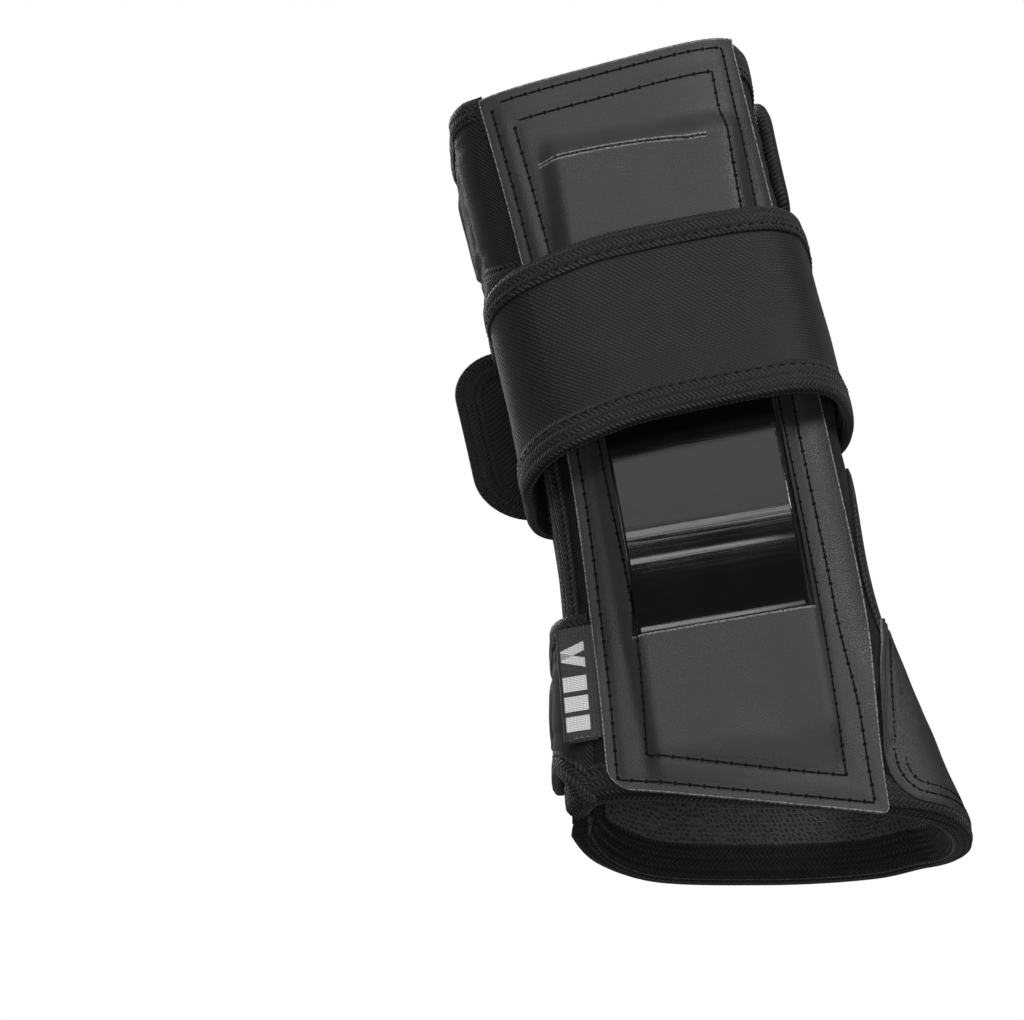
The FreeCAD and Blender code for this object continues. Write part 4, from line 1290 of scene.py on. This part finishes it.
def makeSideTab():
    low, high = sideTab["heights"]
    middle = (low + high) / 2
    footAngle = float(palmAngle(panelLeft(middle) - sideTab["foot"], middle))
    foot = onBody(footAngle, middle, 0.9)
    ahead = onBody(footAngle - 8, middle, 5.0) - foot
    ahead /= np.linalg.norm(ahead)
    across = np.array([-ahead[1], ahead[0], 0])

    def onTab(s, z, out):
        # s runs out along one face, round the fold and back along the other
        s, z, out = np.broadcast_arrays(*(np.asarray(v, float) for v in (s, z, out)))
        radius = sideTab["gap"] + out
        reach = sideTab["reach"] - 1.0
        bendLength = math.pi * 0.8
        turn = np.clip((s - reach) / bendLength, 0, 1) * math.pi
        distance = np.where(s < reach, s, np.where(turn < math.pi, reach, 2 * reach + bendLength - s))
        distance = distance + radius * np.sin(turn)
        offset = radius * np.cos(turn) + 0.4
        skew = sideTab["tilt"] * (z - middle)
        return (foot + ahead * (distance + skew)[..., None] + across * offset[..., None]
                + np.stack([z * 0, z * 0, z - foot[2]], -1))

    fold = sideTab["reach"] - 1.0
    s = np.concatenate([np.linspace(-3, fold - 0.2, 18), np.linspace(fold, fold + 2.5, 9),
                        np.linspace(fold + 2.7, 2 * fold + 5, 16)])
    z = np.linspace(low, high, 40)[:, None]
    soft = 0.12 * ripple(s, z, 41, 14)
    top = onTab(s, z, sideTab["thick"] + soft)
    piece = sheetPiece("sideTab", top, onTab(s, z, soft), [satin], sharp=60)
    ridden(piece, "sleeve", "label_cloth", "side_tab")
    rows = []
    for first, last in ((0, fold - 0.4), (fold + 2.9, 2 * fold + 2)):
        line = np.stack([np.linspace(first, last, 20), np.full(20, low + 0.5)], -1)
        rows.append((onTab, line, sideTab["thick"] + 0.05))
    ridden(stitchRows("sideTabStitches", rows, greyThread, sideTab["stitch"]), "sleeve", "label_cloth")
    # three bars and a chevron on each face of the fold
    near, far = sideTab["motif"]
    motif = []
    for a, b in ((near - 2.6, far - 2.6), (2 * fold + 5.1 - near, 2 * fold + 5.1 - far)):
        for k in range(3):
            z0 = middle - 12.4 + k * 5.2
            z1 = z0 + sideTab["bar"]
            motif.append([(a, z0), (b, z0), (b, z1), (a, z1)])
        z0 = middle + 4.0
        motif.append([(a, z0), (b, z0 + 2.0), (b, z0 + 4.4), (a, z0 + 2.4)])
        motif.append([(a, z0 + 4.4), (b, z0 + 2.4), (b, z0 + 4.8), (a, z0 + 6.8)])
    raised = motifBars(onTab, motif, sideTab["thick"] + 0.14, emblem, "sideTabMotif")
    ridden(raised, "sleeve", "label_cloth")


makeSideTab()
print("side tab made")


# Camera, light and floor
studio = {
    "target": (-0.0436, 0.0, -0.0330), "below": 20.0, "roll": 9.6, "distance": 1.6, "lens": 219.3,
    "white": 1.0, "ambient": 0.1, "floor": -0.8, "floorReach": 6.0,
    "lights": [       # name, place, size, power
        ("keyLight", (0.95, -0.85, 0.8), (0.5, 0.5), 13.0),
        ("frontPanel", (0.0, -0.85, 1.05), (0.8, 0.75), 2.4),
        ("frontStrip", (0.0, -1.2, 0.47), (0.9, 0.36), 5.0),
        ("lowFill", (-0.1, -1.1, -0.5), (0.6, 0.35), 4.0),
        ("backLight", (-0.3, 0.9, 0.8), (0.6, 0.6), 10.0),
        ("sideLight", (-0.9, 0.3, 0.3), (0.5, 0.5), 1.0),
    ],
    "floorLight": {"above": 0.3, "size": 24.0, "power": 1640.0},
}


def makeStudio():
    scene = bpy.context.scene
    scene.view_settings.view_transform = "Standard"
    down = math.radians(studio["below"])
    roll = math.radians(studio["roll"])
    away = Vector((0, -math.cos(down), -math.sin(down)))
    right = Vector((1, 0, 0))
    up = Vector((0, -math.sin(down), math.cos(down)))
    rolledRight = right * math.cos(roll) - up * math.sin(roll)
    rolledUp = right * math.sin(roll) + up * math.cos(roll)
    camera = bpy.data.objects.new("camera", bpy.data.cameras.new("camera"))
    camera.data.lens = studio["lens"]
    camera.data.sensor_width = 36
    axes = Matrix((rolledRight, rolledUp, away)).transposed()
    place = Vector(studio["target"]) + away * studio["distance"]
    camera.matrix_world = Matrix.Translation(place) @ axes.to_4x4()
    scene.collection.objects.link(camera)
    scene.camera = camera

    for name, place, size, power in studio["lights"]:
        light = bpy.data.lights.new(name, "AREA")
        light.shape = "RECTANGLE"
        light.size, light.size_y = size
        light.energy = power
        lamp = bpy.data.objects.new(name, light)
        lamp.location = place
        lamp.rotation_euler = (Vector((0, 0, -0.03)) - Vector(place)).to_track_quat("-Z", "Y").to_euler()
        scene.collection.objects.link(lamp)

    # the floor has its own light over it, which the object doesn't see
    light = bpy.data.lights.new("floorLight", "AREA")
    light.size = studio["floorLight"]["size"]
    light.energy = studio["floorLight"]["power"]
    lamp = bpy.data.objects.new("floorLight", light)
    lamp.location = (0, 0, studio["floor"] + studio["floorLight"]["above"])
    lamp.visible_camera = False
    lamp.visible_glossy = False
    scene.collection.objects.link(lamp)

    world = bpy.data.worlds.new("studio")
    world.use_nodes = True
    tree = world.node_tree
    shown = put(tree, "Background", {}, {"Color": (1, 1, 1, 1), "Strength": studio["white"]})
    around = tree.nodes["Background"]
    around.inputs["Color"].default_value = (1, 1, 1, 1)
    around.inputs["Strength"].default_value = studio["ambient"]
    seen = put(tree, "LightPath", {}, {})
    mixed = put(tree, "MixShader", {}, {
        0: seen.outputs["Is Camera Ray"], 1: around.outputs[0], 2: shown.outputs[0],
    })
    tree.links.new(mixed.outputs[0], tree.nodes["World Output"].inputs["Surface"])
    scene.world = world

    finish, tree, shader = newFinish("paleFloor", {"Roughness": 0.9, "Specular IOR Level": 0.1})
    shade = put(tree, "TexNoise", {}, {"Scale": 3.0, "Detail": 2.0}).outputs["Fac"]
    tree.links.new(blendOf(tree, shade, grey(0.86), grey(0.9)), shader.inputs["Base Color"])
    mesh = bpy.data.meshes.new("floor")
    reach = studio["floorReach"]
    z = studio["floor"]
    corners = [(-reach, -reach, z), (reach, -reach, z), (reach, reach, z), (-reach, reach, z)]
    mesh.from_pydata(corners, [], [(0, 1, 2, 3)])
    mesh.materials.append(finish)
    floor = bpy.data.objects.new("floor", mesh)
    floor.visible_glossy = False
    floor.visible_diffuse = False
    scene.collection.objects.link(floor)


makeStudio()
print("studio made")
